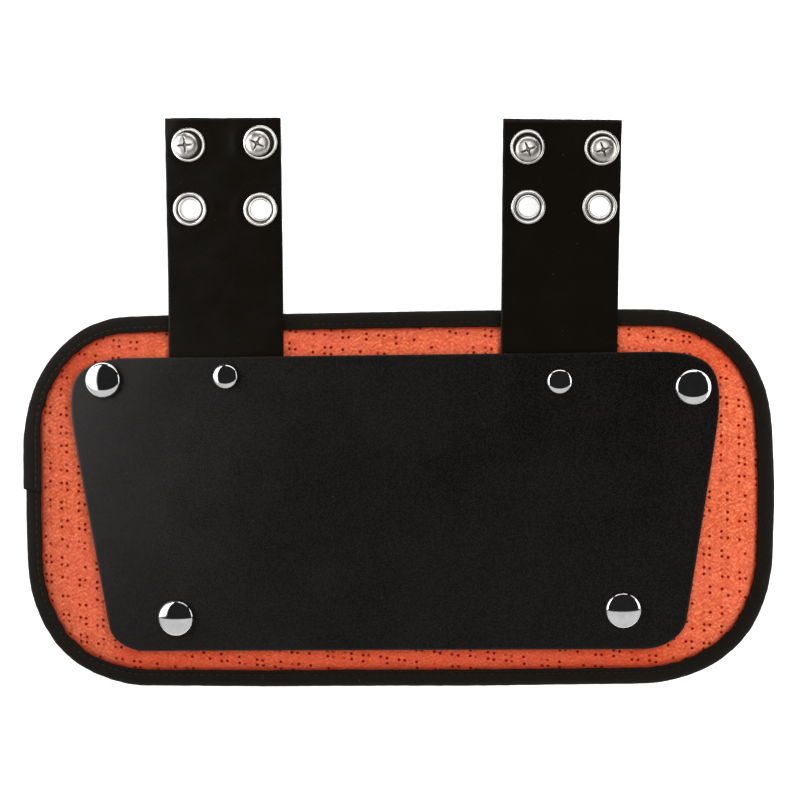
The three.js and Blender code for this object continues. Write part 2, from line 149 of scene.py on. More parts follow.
def scaledBy(tree, vector, factors):
    inputs = {0: vector, 1: factors}
    return put(tree, "ShaderNodeVectorMath", inputs, operation="MULTIPLY").outputs[0]


def millimetres(tree):
    place = put(tree, "ShaderNodeTexCoord").outputs["Object"]
    return scaledBy(tree, place, (1000, 1000, 1000))


def linear(*srgb):
    parts = [v / 255 for v in srgb]
    return tuple(v / 12.92 if v <= 0.04045 else ((v + 0.055) / 1.055) ** 2.4 for v in parts) + (1.0,)


def weighed(tree, parts, shares):  # the sum of the parts, each by its share
    total = 0.0
    for name, share in shares.items():
        total = calc(tree, "MULTIPLY_ADD", parts[name], share, total)
    return total


def pointValue(tree, name):  # a value that the mesh carries in its points
    return put(tree, "ShaderNodeAttribute", attribute_name=name).outputs["Fac"]


def newMaterial(name, values):
    material = bpy.data.materials.new(name)
    material.use_nodes = True
    tree = material.node_tree
    shader = tree.nodes["Principled BSDF"]
    for key, value in values.items():
        shader.inputs[key].default_value = value
    return material, tree, shader


def raiseBy(tree, shader, height, depth):
    bump = put(tree, "ShaderNodeBump", {"Height": height, "Distance": depth * mm, "Strength": 1.0})
    tree.links.new(bump.outputs[0], shader.inputs["Normal"])


# Node groups: effects that several materials share

def newGroup(name, inputs, outputs):
    tree = bpy.data.node_groups.new(name, "ShaderNodeTree")
    for label, kind, value in inputs:
        socket = tree.interface.new_socket(label, in_out="INPUT", socket_type="NodeSocket" + kind)
        if value is not None:
            socket.default_value = value
    for label, kind in outputs:
        tree.interface.new_socket(label, in_out="OUTPUT", socket_type="NodeSocket" + kind)
    entry = tree.nodes.new("NodeGroupInput")
    leave = tree.nodes.new("NodeGroupOutput")
    return tree, entry.outputs, leave.inputs


def useGroup(tree, group, inputs):
    node = tree.nodes.new("ShaderNodeGroup")
    node.node_tree = group
    for key, value in inputs.items():
        feed(tree, node.inputs[key], value)
    return node.outputs


def handlingGroup():  # smudges of the hand, and fine scratches
    tree, given, out = newGroup(
        "handlingMarks",
        [("Vector", "Vector", None), ("Smudge Size", "Float", 12.0), ("Scratch Length", "Float", 8.0)],
        [("Smudge", "Float"), ("Scratch", "Float")],
    )
    smudgeScale = calc(tree, "DIVIDE", 1.0, given["Smudge Size"])
    cloud = noiseValue(tree, given["Vector"], smudgeScale, 4.0, 0.6)
    tree.links.new(smoothStep(tree, cloud, 0.38, 0.68), out["Smudge"])
    across = calc(tree, "DIVIDE", 1.0, given["Scratch Length"])
    stretched = put(tree, "ShaderNodeCombineXYZ", {"X": across, "Y": 3.0, "Z": 1.0}).outputs[0]
    bent = put(tree, "ShaderNodeVectorRotate", {"Vector": given["Vector"], "Angle": 0.7})
    streak = noiseValue(tree, scaledBy(tree, bent.outputs[0], stretched), 1.0, 1.0, 0.4)
    tree.links.new(smoothStep(tree, streak, 0.66, 0.72), out["Scratch"])
    return tree


def weaveGroup():  # plain weave of threads along X and Y
    tree, given, out = newGroup(
        "threadWeave",
        [("Vector", "Vector", None), ("Across", "Float", 0.8), ("Along", "Float", 0.8)],
        [("Height", "Float")],
    )
    split = put(tree, "ShaderNodeSeparateXYZ", {"Vector": given["Vector"]}).outputs
    x = calc(tree, "DIVIDE", split["X"], given["Across"])
    y = calc(tree, "DIVIDE", split["Y"], given["Along"])

    def threads(side, run):
        body = calc(tree, "ABSOLUTE", calc(tree, "SINE", calc(tree, "MULTIPLY", side, math.pi)))
        phase = calc(tree, "ADD", run, calc(tree, "FLOOR", side))
        over = calc(tree, "COSINE", calc(tree, "MULTIPLY", phase, math.pi))
        lifted = calc(tree, "MULTIPLY_ADD", over, 0.5, 0.5)
        return calc(tree, "MULTIPLY", body, lifted)

    warp = threads(x, y)
    weft = threads(y, calc(tree, "ADD", x, 1.0))
    tree.links.new(calc(tree, "MAXIMUM", warp, weft), out["Height"])
    return tree


def wearAndSheenGroup():  # rubbed edges with a painted highlight along them, from the mesh's own edge value
    tree, given, out = newGroup(
        "edgeWear",
        [("Vector", "Vector", None), ("Edge", "Float", 0.0), ("Grain", "Float", 1.5)],
        [("Mask", "Float")],
    )
    rub = noiseValue(tree, given["Vector"], calc(tree, "DIVIDE", 1.0, given["Grain"]), 3.0, 0.6)
    kept = smoothStep(tree, rub, 0.3, 0.7, 0.35, 1.0)
    tree.links.new(calc(tree, "MULTIPLY", given["Edge"], kept), out["Mask"])
    return tree


def lintGroup():  # sparse pale specks
    tree, given, out = newGroup(
        "lint",
        [("Vector", "Vector", None), ("Spacing", "Float", 6.0), ("Speck", "Float", 0.05)],
        [("Mask", "Float")],
    )
    inputs = {"Vector": given["Vector"], "Scale": calc(tree, "DIVIDE", 1.0, given["Spacing"])}
    cells = put(tree, "ShaderNodeTexVoronoi", inputs)
    speck = calc(tree, "LESS_THAN", cells.outputs["Distance"], given["Speck"])
    picked = put(tree, "ShaderNodeSeparateColor", {"Color": cells.outputs["Color"]}).outputs[0]
    chosen = calc(tree, "GREATER_THAN", picked, 0.6)
    tree.links.new(calc(tree, "MULTIPLY", speck, chosen), out["Mask"])
    return tree


handlingMarks = handlingGroup()
threadWeave = weaveGroup()
edgeWear = wearAndSheenGroup()
lint = lintGroup()
print("node groups built")


# Materials

coverLook = {
    "crest": linear(255, 138, 96),
    "valley": linear(188, 48, 14),
    "deep": linear(206, 62, 30),   # painted shade where the cover lies in a narrow band between the plate and the tape
    # painted shade along the seam where the cover goes in under the tape
    "hem": linear(120, 24, 10),
    "pinhole": linear(128, 8, 1),
    "columns": 2.57,     # millimetres between columns of pinholes
    "rows": 2.73,
    "drift": 0.13,       # how far each column steps up on the last, in rows
    "holeRadius": 0.6,
    "holeStray": 0.2,    # how far a pinhole strays in its cell
    "strokes": (3.855, 0.5, 2.05),  # zigzag rows of yarn: width of a leg, slope, spacing
    "strokeStart": 5.14,            # how far the first leg is moved sideways
    "strokeStray": 3.4,
    "knit": (0.7, 1.2),  # bumps to the millimetre, along and across their lean
    "knitLean": -0.6,
    "yarn": (0.42, 0.34),
    # Share of each part in the cloth's light and dark, and in its height
    "shades": {"knit": 0.4, "fuzz": 0.26, "stroke": 0.34, "yarn": 0.1, "patch": 0.2},
    "relief": {"knit": 0.45, "fuzz": 0.2, "stroke": 0.25, "yarn": 0.16, "hole": -1.0},
    "depth": 0.32,
    "rubbed": linear(232, 104, 84),
}


def coverMaterial():
    uniform = {"Roughness": 0.9, "Sheen Weight": 0.03, "Sheen Roughness": 0.5, "Specular IOR Level": 0.03}
    material, tree, shader = newMaterial("coverMesh", uniform)
    place = millimetres(tree)
    split = put(tree, "ShaderNodeSeparateXYZ", {"Vector": place}).outputs
    parts = clothKnit(tree, place, split)
    parts["hole"] = pinholes(tree, split)

    shade = weighed(tree, parts, coverLook["shades"])
    colour = mixColour(tree, shade, coverLook["valley"], coverLook["crest"])
    worn = smoothStep(tree, noiseValue(tree, place, 0.035, 3.0, 0.55), 0.35, 0.7, 0.0, 0.35)
    colour = mixColour(tree, worn, colour, coverLook["rubbed"])
    # Painted shade: the narrow band of cover between the plate and the tape, and the seam along the tape
    for name, share, tone in (("tight", 0.6, "deep"), ("hem", 0.75, "hem")):
        amount = calc(tree, "MULTIPLY", pointValue(tree, name), share)
        colour = mixColour(tree, amount, colour, coverLook[tone])
    colour = mixColour(tree, parts["hole"], colour, coverLook["pinhole"])
    tree.links.new(colour, shader.inputs["Base Color"])
    raiseBy(tree, shader, weighed(tree, parts, coverLook["relief"]), coverLook["depth"])
    return material


def pinholes(tree, split):
    # They stand two by two, on a grid with every third column and row left out
    u = calc(tree, "DIVIDE", split["X"], coverLook["columns"])
    column = calc(tree, "FLOOR", u)
    level = calc(tree, "DIVIDE", split["Y"], coverLook["rows"])
    v = calc(tree, "MULTIPLY_ADD", column, coverLook["drift"], level)
    row = calc(tree, "FLOOR", v)
    cell = put(tree, "ShaderNodeCombineXYZ", {"X": column, "Y": row}).outputs[0]
    chance = put(tree, "ShaderNodeTexWhiteNoise", {"Vector": cell}).outputs
    strays = put(tree, "ShaderNodeSeparateColor", {"Color": chance["Color"]}).outputs
    stray = coverLook["holeStray"]
    squares = 0.0
    for at, moved, pitch in ((u, strays[0], coverLook["columns"]), (v, strays[1], coverLook["rows"])):
        centre = calc(tree, "MULTIPLY_ADD", moved, stray, 0.5 - stray / 2)
        away = calc(tree, "MULTIPLY", calc(tree, "SUBTRACT", calc(tree, "FRACT", at), centre), pitch)
        squares = calc(tree, "MULTIPLY_ADD", away, away, squares)
    radius = coverLook["holeRadius"]
    hole = smoothStep(tree, calc(tree, "SQRT", squares), radius * 0.6, radius * 1.5, 1.0, 0.0)
    for number in (column, row):
        kept = calc(tree, "LESS_THAN", calc(tree, "FLOORED_MODULO", number, 3.0), 1.5)
        hole = calc(tree, "MULTIPLY", hole, kept)
    opened = smoothStep(tree, chance["Value"], 0.2, 0.55, 0.15, 1.0)
    return calc(tree, "MULTIPLY", hole, opened)


def clothKnit(tree, place, split):
    # Rows of yarn that zigzag between the columns, on small leaning bumps
    leg, slope, every = coverLook["strokes"]
    fold = calc(tree, "PINGPONG", calc(tree, "ADD", split["X"], coverLook["strokeStart"]), leg)
    unsteady = noiseValue(tree, place, 0.5, 3.0, 0.65)
    line = calc(tree, "MULTIPLY_ADD", fold, slope, split["Y"])
    line = calc(tree, "MULTIPLY_ADD", unsteady, coverLook["strokeStray"], line)
    wave = calc(tree, "SINE", calc(tree, "MULTIPLY", line, 2 * math.pi / every))
    broken = smoothStep(tree, noiseValue(tree, place, 0.6, 2.0, 0.6), 0.42, 0.58, 0.1, 1.0)
    leaning = put(tree, "ShaderNodeVectorRotate", {"Vector": place, "Angle": coverLook["knitLean"]},
                  rotation_type="Z_AXIS").outputs[0]
    along, across = coverLook["knit"]
    inputs = {"Vector": scaledBy(tree, leaning, (along, across, 0.0)), "Scale": 1.0, "Randomness": 0.45}
    cells = put(tree, "ShaderNodeTexVoronoi", inputs, feature="SMOOTH_F1")
    across, along = coverLook["yarn"]
    yarn = useGroup(tree, threadWeave, {"Vector": leaning, "Across": across, "Along": along})
    return {
        "stroke": calc(tree, "MULTIPLY", smoothStep(tree, wave, -0.3, 0.9), broken),
        "knit": smoothStep(tree, cells.outputs["Distance"], 0.1, 0.62, 1.0, 0.0),
        "fuzz": noiseValue(tree, place, 2.2, 3.0, 0.7),
        "yarn": yarn["Height"],
        "patch": smoothStep(tree, noiseValue(tree, place, 0.3, 2.0, 0.5), 0.3, 0.7),
    }


tapeLook = {
    "thread": linear(34, 29, 24),
    "shade": linear(6, 4, 3),
    "lint": linear(96, 88, 78),
    "rib": (0.55, 0.42),   # weave, millimetres along and across the tape
    "depth": 0.12,
}


def tapeMaterial():
    material, tree, shader = newMaterial("edgeTape", {"Roughness": 0.85, "Specular IOR Level": 0.08})
    lie = put(tree, "ShaderNodeUVMap", uv_map="tapeLie").outputs[0]
    place = millimetres(tree)
    across, along = tapeLook["rib"]
    weave = useGroup(tree, threadWeave, {"Vector": lie, "Across": across, "Along": along})["Height"]
    fuzz = noiseValue(tree, place, 1.6, 4.0, 0.7)
    shade = calc(tree, "MULTIPLY", calc(tree, "ADD", weave, fuzz), 0.6)
    colour = mixColour(tree, shade, tapeLook["shade"], tapeLook["thread"])
    colour = withLint(tree, place, colour, tapeLook["lint"], 0.5, {"Spacing": 3.0, "Speck": 0.07})
    tree.links.new(colour, shader.inputs["Base Color"])
    raiseBy(tree, shader, calc(tree, "MULTIPLY_ADD", weave, 0.5, fuzz), tapeLook["depth"])
    return material


def withLint(tree, place, colour, tone, share, values):
    specks = useGroup(tree, lint, {"Vector": place, **values})["Mask"]
    return mixColour(tree, calc(tree, "MULTIPLY", specks, share), colour, tone)


threadLook = {"dark": linear(12, 11, 10), "light": linear(27, 24, 21), "depth": 0.05}


def threadMaterial():
    material, tree, shader = newMaterial("sewingThread", {"Roughness": 0.55, "Specular IOR Level": 0.4})
    twist = noiseValue(tree, millimetres(tree), 4.0, 2.0, 0.5)
    colour = mixColour(tree, twist, threadLook["dark"], threadLook["light"])
    tree.links.new(colour, shader.inputs["Base Color"])
    raiseBy(tree, shader, twist, threadLook["depth"])
    return material


plateLook = {
    "black": linear(2, 1, 1),
    "grey": linear(29, 25, 23),
    # paler rim: partly wear, partly a painted highlight along the rounded front edge
    "edge": linear(48, 45, 43),
    "lint": linear(120, 114, 108),
    "grain": 0.7,      # millimetres
    "mottle": 0.42,    # share of the grain, and of the smudges, between black and grey
    "smudge": 0.1,
    "greyest": 0.1,    # share of grey where there is neither
    "rough": 0.5,
    "depth": 0.04,
}


def plateMaterial():
    uniform = {"Roughness": plateLook["rough"], "Specular IOR Level": 0.4}
    material, tree, shader = newMaterial("platePlastic", uniform)
    place = millimetres(tree)
    marks = useGroup(tree, handlingMarks, {"Vector": place, "Smudge Size": 40.0, "Scratch Length": 14.0})
    grain = noiseValue(tree, place, 1 / plateLook["grain"], 2.0, 0.6)
    mottle = smoothStep(tree, grain, 0.38, 0.64)
    smudge = calc(tree, "MULTIPLY_ADD", marks["Smudge"], plateLook["smudge"], plateLook["greyest"])
    shade = calc(tree, "MULTIPLY_ADD", mottle, plateLook["mottle"], smudge)
    colour = mixColour(tree, shade, plateLook["black"], plateLook["grey"])
    colour = withWornSheenEdge(tree, place, colour, plateLook["edge"], 3.0)
    colour = withLint(tree, place, colour, plateLook["lint"], 0.35, {"Spacing": 5.0, "Speck": 0.03})
    tree.links.new(colour, shader.inputs["Base Color"])
    rough = calc(tree, "MULTIPLY_ADD", marks["Smudge"], 0.08, plateLook["rough"])
    rough = calc(tree, "MULTIPLY_ADD", marks["Scratch"], -0.06, rough)
    tree.links.new(rough, shader.inputs["Roughness"])
    bow = noiseValue(tree, place, 0.02, 1.0, 0.4)
    raiseBy(tree, shader, calc(tree, "MULTIPLY_ADD", bow, 14.0, grain), plateLook["depth"])
    return material


# Paler along the edges, broken up by noise: wear and a painted highlight
def withWornSheenEdge(tree, place, colour, tone, grain):
    inputs = {"Vector": place, "Edge": pointValue(tree, "edge"), "Grain": grain}
    worn = useGroup(tree, edgeWear, inputs)["Mask"]
    return mixColour(tree, calc(tree, "MULTIPLY", worn, 0.4), colour, tone)


strapLook = {
    "coat": linear(8, 6, 3),
    "thread": linear(20, 16, 10),
    # paler cut edges: partly wear, partly a painted highlight along the rounded edges
    "cut": linear(70, 65, 60),
    "lint": linear(110, 104, 96),
    "weave": (0.9, 0.7),
    "rough": 0.36,
    "depth": 0.07,
}


def strapMaterial():
    material, tree, shader = newMaterial("strapWebbing", {"Specular IOR Level": 0.11})
    lie = put(tree, "ShaderNodeUVMap", uv_map="strapLie").outputs[0]
    place = millimetres(tree)
    across, along = strapLook["weave"]
    weave = useGroup(tree, threadWeave, {"Vector": lie, "Across": across, "Along": along})["Height"]
    marks = useGroup(tree, handlingMarks, {"Vector": place, "Smudge Size": 18.0, "Scratch Length": 10.0})
    colour = mixColour(tree, weave, strapLook["coat"], strapLook["thread"])
    colour = withWornSheenEdge(tree, place, colour, strapLook["cut"], 1.2)
    colour = withLint(tree, place, colour, strapLook["lint"], 0.3, {"Spacing": 5.0, "Speck": 0.04})
    tree.links.new(colour, shader.inputs["Base Color"])
    rough = calc(tree, "MULTIPLY_ADD", marks["Smudge"], 0.16, strapLook["rough"])
    tree.links.new(rough, shader.inputs["Roughness"])
    raiseBy(tree, shader, weave, strapLook["depth"])
    return material


# Colour of the painted shade in creases, gaps and recesses, and the roughness that it adds
metalLook = {"grime": linear(66, 62, 58), "grimeRough": 0.25, "depth": 0.002}


def metalMaterial(name, dull, bright, rough, smudge):
    # Painted shade darkens the creases, the gaps under the screw heads and the cross recesses, from the
    # mesh's own value
    material, tree, shader = newMaterial(name, {"Metallic": 1.0})
    grime = pointValue(tree, "grime")
    place = millimetres(tree)
    marks = useGroup(tree, handlingMarks, {"Vector": place, "Smudge Size": 5.0, "Scratch Length": 3.0})
    colour = mixColour(tree, marks["Smudge"], bright, dull)
    tree.links.new(mixColour(tree, grime, colour, metalLook["grime"]), shader.inputs["Base Color"])
    marked = calc(tree, "MULTIPLY_ADD", calc(tree, "ADD", marks["Smudge"], marks["Scratch"]), smudge, rough)
    marked = calc(tree, "MULTIPLY_ADD", grime, metalLook["grimeRough"], marked)
    tree.links.new(marked, shader.inputs["Roughness"])
    raiseBy(tree, shader, marks["Smudge"], metalLook["depth"])
    return material


finishes = {
    "cover_mesh": coverMaterial(),
    "edge_tape": tapeMaterial(),
    "thread": threadMaterial(),
    "plate_plastic": plateMaterial(),
    "strap_webbing": strapMaterial(),
    "eyelet_nickel": metalMaterial("eyeletNickel", linear(204, 200, 194), linear(230, 227, 222), 0.2, 0.08),
    "screw_steel": metalMaterial("screwSteel", linear(190, 185, 178), linear(222, 218, 212), 0.3, 0.1),
    "rivet_chrome": metalMaterial("rivetChrome", linear(224, 224, 224), linear(242, 242, 242), 0.03, 0.04),
}
print("materials built:", len(finishes))


# Mesh helpers

def meshPiece(name, points, faces, slot, nodes=(), finish=None, smooth=True):
    mesh = bpy.data.meshes.new(name)
    mesh.from_pydata([tuple(p) for p in points], [], faces)
    mesh.validate()
    mesh.update()
    piece = bpy.data.objects.new(name, mesh)
    bpy.context.scene.collection.objects.link(piece)
    if smooth:
        mesh.shade_smooth()
    return finished(piece, slot, nodes, finish)


def finished(piece, slot, nodes=(), finish=None):
    piece.data.materials.clear()
    piece.data.materials.append(finishes[finish or slot])
    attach(piece, rootBody)
    if nodes:
        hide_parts(*nodes)
    return piece


def baked(piece):  # the piece's modifiers made part of its mesh
    bpy.context.view_layer.update()
    graph = bpy.context.evaluated_depsgraph_get()
    mesh = bpy.data.meshes.new_from_object(piece.evaluated_get(graph))
    old = piece.data
    piece.modifiers.clear()
    piece.data = mesh
    bpy.data.meshes.remove(old)
    return piece


def coordinates(mesh):
    values = np.empty(len(mesh.vertices) * 3)
    mesh.vertices.foreach_get("co", values)
    return values.reshape(-1, 3)


def setCoordinates(mesh, values):
    mesh.vertices.foreach_set("co", np.ascontiguousarray(values).ravel())
    mesh.update()


def addPointValue(piece, name, values):
    layer = piece.data.attributes.new(name, "FLOAT", "POINT")
    layer.data.foreach_set("value", np.ascontiguousarray(values, dtype=np.float32))


def ramp(value, low, high):  # smooth step from 0 at low to 1 at high
    share = np.clip((value - low) / (high - low), 0, 1)
    return share * share * (3 - 2 * share)


def wander(value, seed, size):  # smooth noise along a line
    return noise.noise(Vector((value / size, seed * 7.31, seed * 3.17)))


def turnedMesh(profile, sides, closed=False):
    # profile: (radius, height) pairs in millimetres, lowest first; ends on the axis unless closed
    points = []
    faces = []
    rows = []
    for radius, height in profile:
        if radius < 1e-6:
            rows.append([len(points)])
            points.append(Vector((0, 0, height)) * mm)
            continue
        rows.append(list(range(len(points), len(points) + sides)))
        for i in range(sides):
            angle = 2 * math.pi * i / sides
            points.append(Vector((radius * math.cos(angle), radius * math.sin(angle), height)) * mm)
    pairs = list(zip(rows, rows[1:]))
    if closed:
        pairs.append((rows[-1], rows[0]))
    for low, high in pairs:
        for i in range(sides):
            k = (i + 1) % sides
            if len(low) == 1:
                faces.append((low[0], high[k], high[i]))
            elif len(high) == 1:
                faces.append((low[i], low[k], high[0]))
            else:
                faces.append((low[i], low[k], high[k], high[i]))
    return points, faces


def bandFaces(rings, count, first=0, closed=False):
    # Quads between rings of points, each ring count points long
    faces = []
    for i in range(rings if closed else rings - 1):
        low = first + i * count
        high = first + (i + 1) % rings * count
        for j in range(count):
            k = (j + 1) % count
            faces.append((low + j, low + k, high + k, high + j))
    return faces


def endFaces(rings, count, first=0):
    last = first + (rings - 1) * count
    return [tuple(reversed(range(first, first + count))), tuple(range(last, last + count))]


def middleOf(node):  # X and Y of its middle, in millimetres
    low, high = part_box(node)
    return (low.x + high.x) / 2 / mm, (low.y + high.y) / 2 / mm


def rounded(corners, steps=4):
    # Corners (radius, height, fillet) with each fillet turned into an arc of points
    path = []
    count = len(corners)
    for i, (r, h, fillet) in enumerate(corners):
        here = Vector((r, h))
        if fillet == 0:
            path.append((r, h))
            continue
        before = Vector(corners[(i - 1) % count][:2]) - here
        after = Vector(corners[(i + 1) % count][:2]) - here
        start = here + before.normalized() * fillet
        end = here + after.normalized() * fillet
        for k in range(steps + 1):
            t = k / steps
            point = start * (1 - t) ** 2 + here * 2 * t * (1 - t) + end * t ** 2
            path.append((point.x, point.y))
    return path


def axisFrame(node):
    # Frame of a turned piece: its axis through the middle of its points, +Z to its front
    values = np.unique(np.round(coordinates(frame["nodes"][node].data), 6), axis=0)
    middle = values.mean(axis=0)
    spread, axes = np.linalg.eigh(np.cov((values - middle).T))
    long = abs(spread[2] - spread[1]) > abs(spread[1] - spread[0])
    axis = Vector(axes[:, 2 if long else 0])
    if axis.z < 0:
        axis.negate()
    lowest = ((values - middle) @ np.array(axis)).min()
    matrix = Matrix.Translation(middle) @ Vector((0, 0, 1)).rotation_difference(axis).to_matrix().to_4x4()
    return matrix, lowest / mm


# Shapes that several pieces follow

tapeFit = {
    "bead": 5.0,        # depth of the round outer bead
    "lip": 2.4,
    "thickness": 1.1,
    "gap": 0.3,
    "corners": {"top": (0.144, 0.335), "bottom": (0.165, 0.348)},  # shares of width and height
    # Where the sewn edge bows out or in: place, how far out, spread along the edge
    "bows": [
        ((162, 3), 1.3, 27), ((156, 54), 0.75, 18), ((126, 79), -0.75, 13), ((20, 81), 0.3, 40),
        ((-120, 81), -0.35, 12), ((-158, 48), 0.4, 16), ((-162, -30), -0.45, 11), ((-145, -66), 0.95, 16),
        ((-52, -81), 0.62, 48), ((30, -81), 0.6, 46), ((122, -79), -0.65, 14), ((152, -58), 0.65, 16),
    ],
}
tapeLow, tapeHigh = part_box("edge_binding")
padWidth = 2 * tapeHigh.x / mm
padHeight = (tapeHigh.y - tapeLow.y) / mm
tapeBack = tapeLow.z / mm
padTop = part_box("pad")[1].z / mm
seamInset = tapeFit["bead"] + tapeFit["lip"] + tapeFit["gap"]  # where the cover comes out of the tape


def padEdge(spacing):
    # The pad's outline, anticlockwise from the right, as evenly spaced points with outward normals
    fine = []
    quadrants = [(1, 1, "top", 0), (-1, 1, "top", 90), (-1, -1, "bottom", 180), (1, -1, "bottom", 270)]
    for sx, sy, corner, start in quadrants:
        share = tapeFit["corners"][corner]
        wide = share[0] * padWidth
        tall = share[1] * padHeight
        for i in range(181):
            angle = math.radians(start + i / 2)
            right, up = math.cos(angle), math.sin(angle)
            normal = Vector((right / wide, up / tall)).normalized()
            x = sx * (padWidth / 2 - wide) + wide * right
            y = sy * (padHeight / 2 - tall) + tall * up
            fine.append((x, y, normal.x, normal.y))
    fine = np.array(fine + fine[:1])
    steps = np.hypot(*np.diff(fine[:, :2], axis=0).T)
    travelled = np.concatenate([[0], np.cumsum(steps)])
    count = int(round(travelled[-1] / spacing))
    at = np.linspace(0, travelled[-1], count, endpoint=False)
    even = np.stack([np.interp(at, travelled, fine[:, k]) for k in range(4)], axis=1)
    even[:, 2:] /= np.hypot(even[:, 2], even[:, 3])[:, None]
    bow = sum(out * np.exp(-(np.hypot(even[:, 0] - x, even[:, 1] - y) / spread) ** 2)
              for (x, y), out, spread in tapeFit["bows"])
    even[:, :2] += even[:, 2:] * bow[:, None]
    return even, at


plateShape = {
    "topMargin": 19.2,
    "bottomMargin": 15.8,
    "topSideMargin": 17.7,
    "bottomSideMargin": 40.2,
    "rightShift": (0.8, -0.7),   # how much further right the right side sits, bottom and top
    "edgeRound": 0.7,
    # Corner curves: share of the height along the end and side, and the pull of each handle
    "topRight": (0.25, 0.34, 0.94, 0.74),
    "topLeft": (0.26, 0.347, 0.94, 0.75),
    "bottomLeft": (0.105, 0.084, 0.45, 0.6),
    "bottomRight": (0.134, 0.105, 0.6, 0.55),
    "steps": 48,
}
plateTop = padHeight / 2 - plateShape["topMargin"]
plateBottom = plateShape["bottomMargin"] - padHeight / 2


def plateEdge():
    topHalf = padWidth / 2 - plateShape["topSideMargin"]
    bottomHalf = padWidth / 2 - plateShape["bottomSideMargin"]
    names = ["topRight", "topLeft", "bottomLeft", "bottomRight"]
    corners = [Vector((topHalf, plateTop)), Vector((-topHalf, plateTop)),
               Vector((-bottomHalf, plateBottom)), Vector((bottomHalf, plateBottom))]
    corners[3].x += plateShape["rightShift"][0]
    corners[0].x += plateShape["rightShift"][1]
    height = plateTop - plateBottom
    edge = []
    for i, name in enumerate(names):
        end, side, endPull, sidePull = plateShape[name]
        first, second = (side, sidePull), (end, endPull)
        if i % 2:
            first, second = second, first
        here, before, after = corners[i], corners[i - 1], corners[(i + 1) % 4]
        enter = here + (before - here).normalized() * first[0] * height
        leave = here + (after - here).normalized() * second[0] * height
        handleIn = enter.lerp(here, first[1])
        handleOut = leave.lerp(here, second[1])
        for k in range(plateShape["steps"] + 1):
            t = k / plateShape["steps"]
            point = enter * (1 - t) ** 3 + handleIn * 3 * t * (1 - t) ** 2
            edge.append(point + handleOut * 3 * t ** 2 * (1 - t) + leave * t ** 3)
    return edge


def sideDistance(points, edge):
    # Distance of each XY point from a closed outline, negative inside
    best = np.full(len(points), np.inf)
    inside = np.zeros(len(points), bool)
    for start, end in zip(edge, np.roll(edge, -1, axis=0)):
        run = end - start
        length = max(run @ run, 1e-12)
        t = np.clip(((points - start) @ run) / length, 0, 1)
        gaps = np.hypot(*(points - start - t[:, None] * run).T)
        best = np.minimum(best, gaps)
        crosses = (start[1] > points[:, 1]) != (end[1] > points[:, 1])
        with np.errstate(divide="ignore", invalid="ignore"):
            meet = start[0] + (points[:, 1] - start[1]) * run[0] / run[1]
        inside ^= crosses & (points[:, 0] < meet)
    return np.where(inside, -best, best)


strapFit = {
    "width": 50.8,
    "thickness": 2.6,
    "tail": 20.0,
    "reach": 111.4,
    "bendStart": 2.0,    # past the plate's top edge
    "bendLength": 46.0,
    "lean": {"left": 0.42, "right": 1.15},
    "lift": {"left": 6.6, "right": 12.4},
    "middle": 12.7,      # height of the flat stretch's middle
}


def strapRoot(side):
    return *middleOf("strap_rivet_" + side), math.radians(strapFit["lean"][side])


def strapPlace(side, across, along, up=0.0):
    # A point of the strap: flat under the plate, an even bend past its edge, then straight
    x0, y0, lean = strapRoots[side]
    start = plateTop - y0 + strapFit["bendStart"]
    lift = math.radians(strapFit["lift"][side])
    radius = strapFit["bendLength"] / lift
    bent = min(max(along - start, 0.0), strapFit["bendLength"])
    slope = bent / radius
    straight = max(along - start - strapFit["bendLength"], 0.0)
    y = min(along, start) + radius * math.sin(slope) + straight * math.cos(slope) - up * math.sin(slope)
    z = strapFit["middle"] + radius * (1 - math.cos(slope))
    z += straight * math.sin(slope) + up * math.cos(slope)
    return Vector((x0 + across * math.cos(lean) + y * math.sin(lean),
                   y0 - across * math.sin(lean) + y * math.cos(lean), z))


strapRoots = {side: strapRoot(side) for side in ("left", "right")}


# Pad: foam in its mesh cover

padSoft = {
    "voxel": 3.4,        # millimetres
    "startSmaller": 0.5,
    "pressure": 4.0,
    "frames": 20,
    "cap": 2.4,          # furthest that the cover may swell
    "frontShoulder": 9.3,
    "backShoulder": 5.3,
    "pucker": 0.3,       # height of the gathers along the tape
    "crease": 1.0,       # how far the cover dips in where it meets the tape
    "puckerEvery": 6.5,
    "tailPocket": (6.6, 11.5, 1.8),  # flat radius, outer radius and depth of a dimple in the back
}


def padStartMesh():
    edge, _ = padEdge(2.5)
    less = padSoft["startSmaller"]
    rimFront = padTop - 4.3 - less / 2
    rimBack = tapeBack + tapeFit["thickness"] + tapeFit["gap"]
    middle = (rimFront + rimBack) / 2
    rimDepth = tapeFit["bead"] - tapeFit["thickness"] - tapeFit["gap"] - less
    sections = [(seamInset + padSoft["backShoulder"], 0.0), (seamInset, rimBack)]
    for angle in range(-90, 91, 30):
        turn = math.radians(angle)
        height = middle + (rimFront - rimBack) / 2 * math.sin(turn)
        sections.append((tapeFit["bead"] - rimDepth * math.cos(turn), height))
    for i in range(7):
        share = i / 6
        rise = (padTop - less - rimFront) * math.sin(share * math.pi / 2)
        sections.append((seamInset + padSoft["frontShoulder"] * share, rimFront + rise))
    points = [Vector((x - nx * inset, y - ny * inset, height)) * mm
              for inset, height in sections for x, y, nx, ny in edge]
    return points, bandFaces(len(sections), len(edge)) + endFaces(len(sections), len(edge))


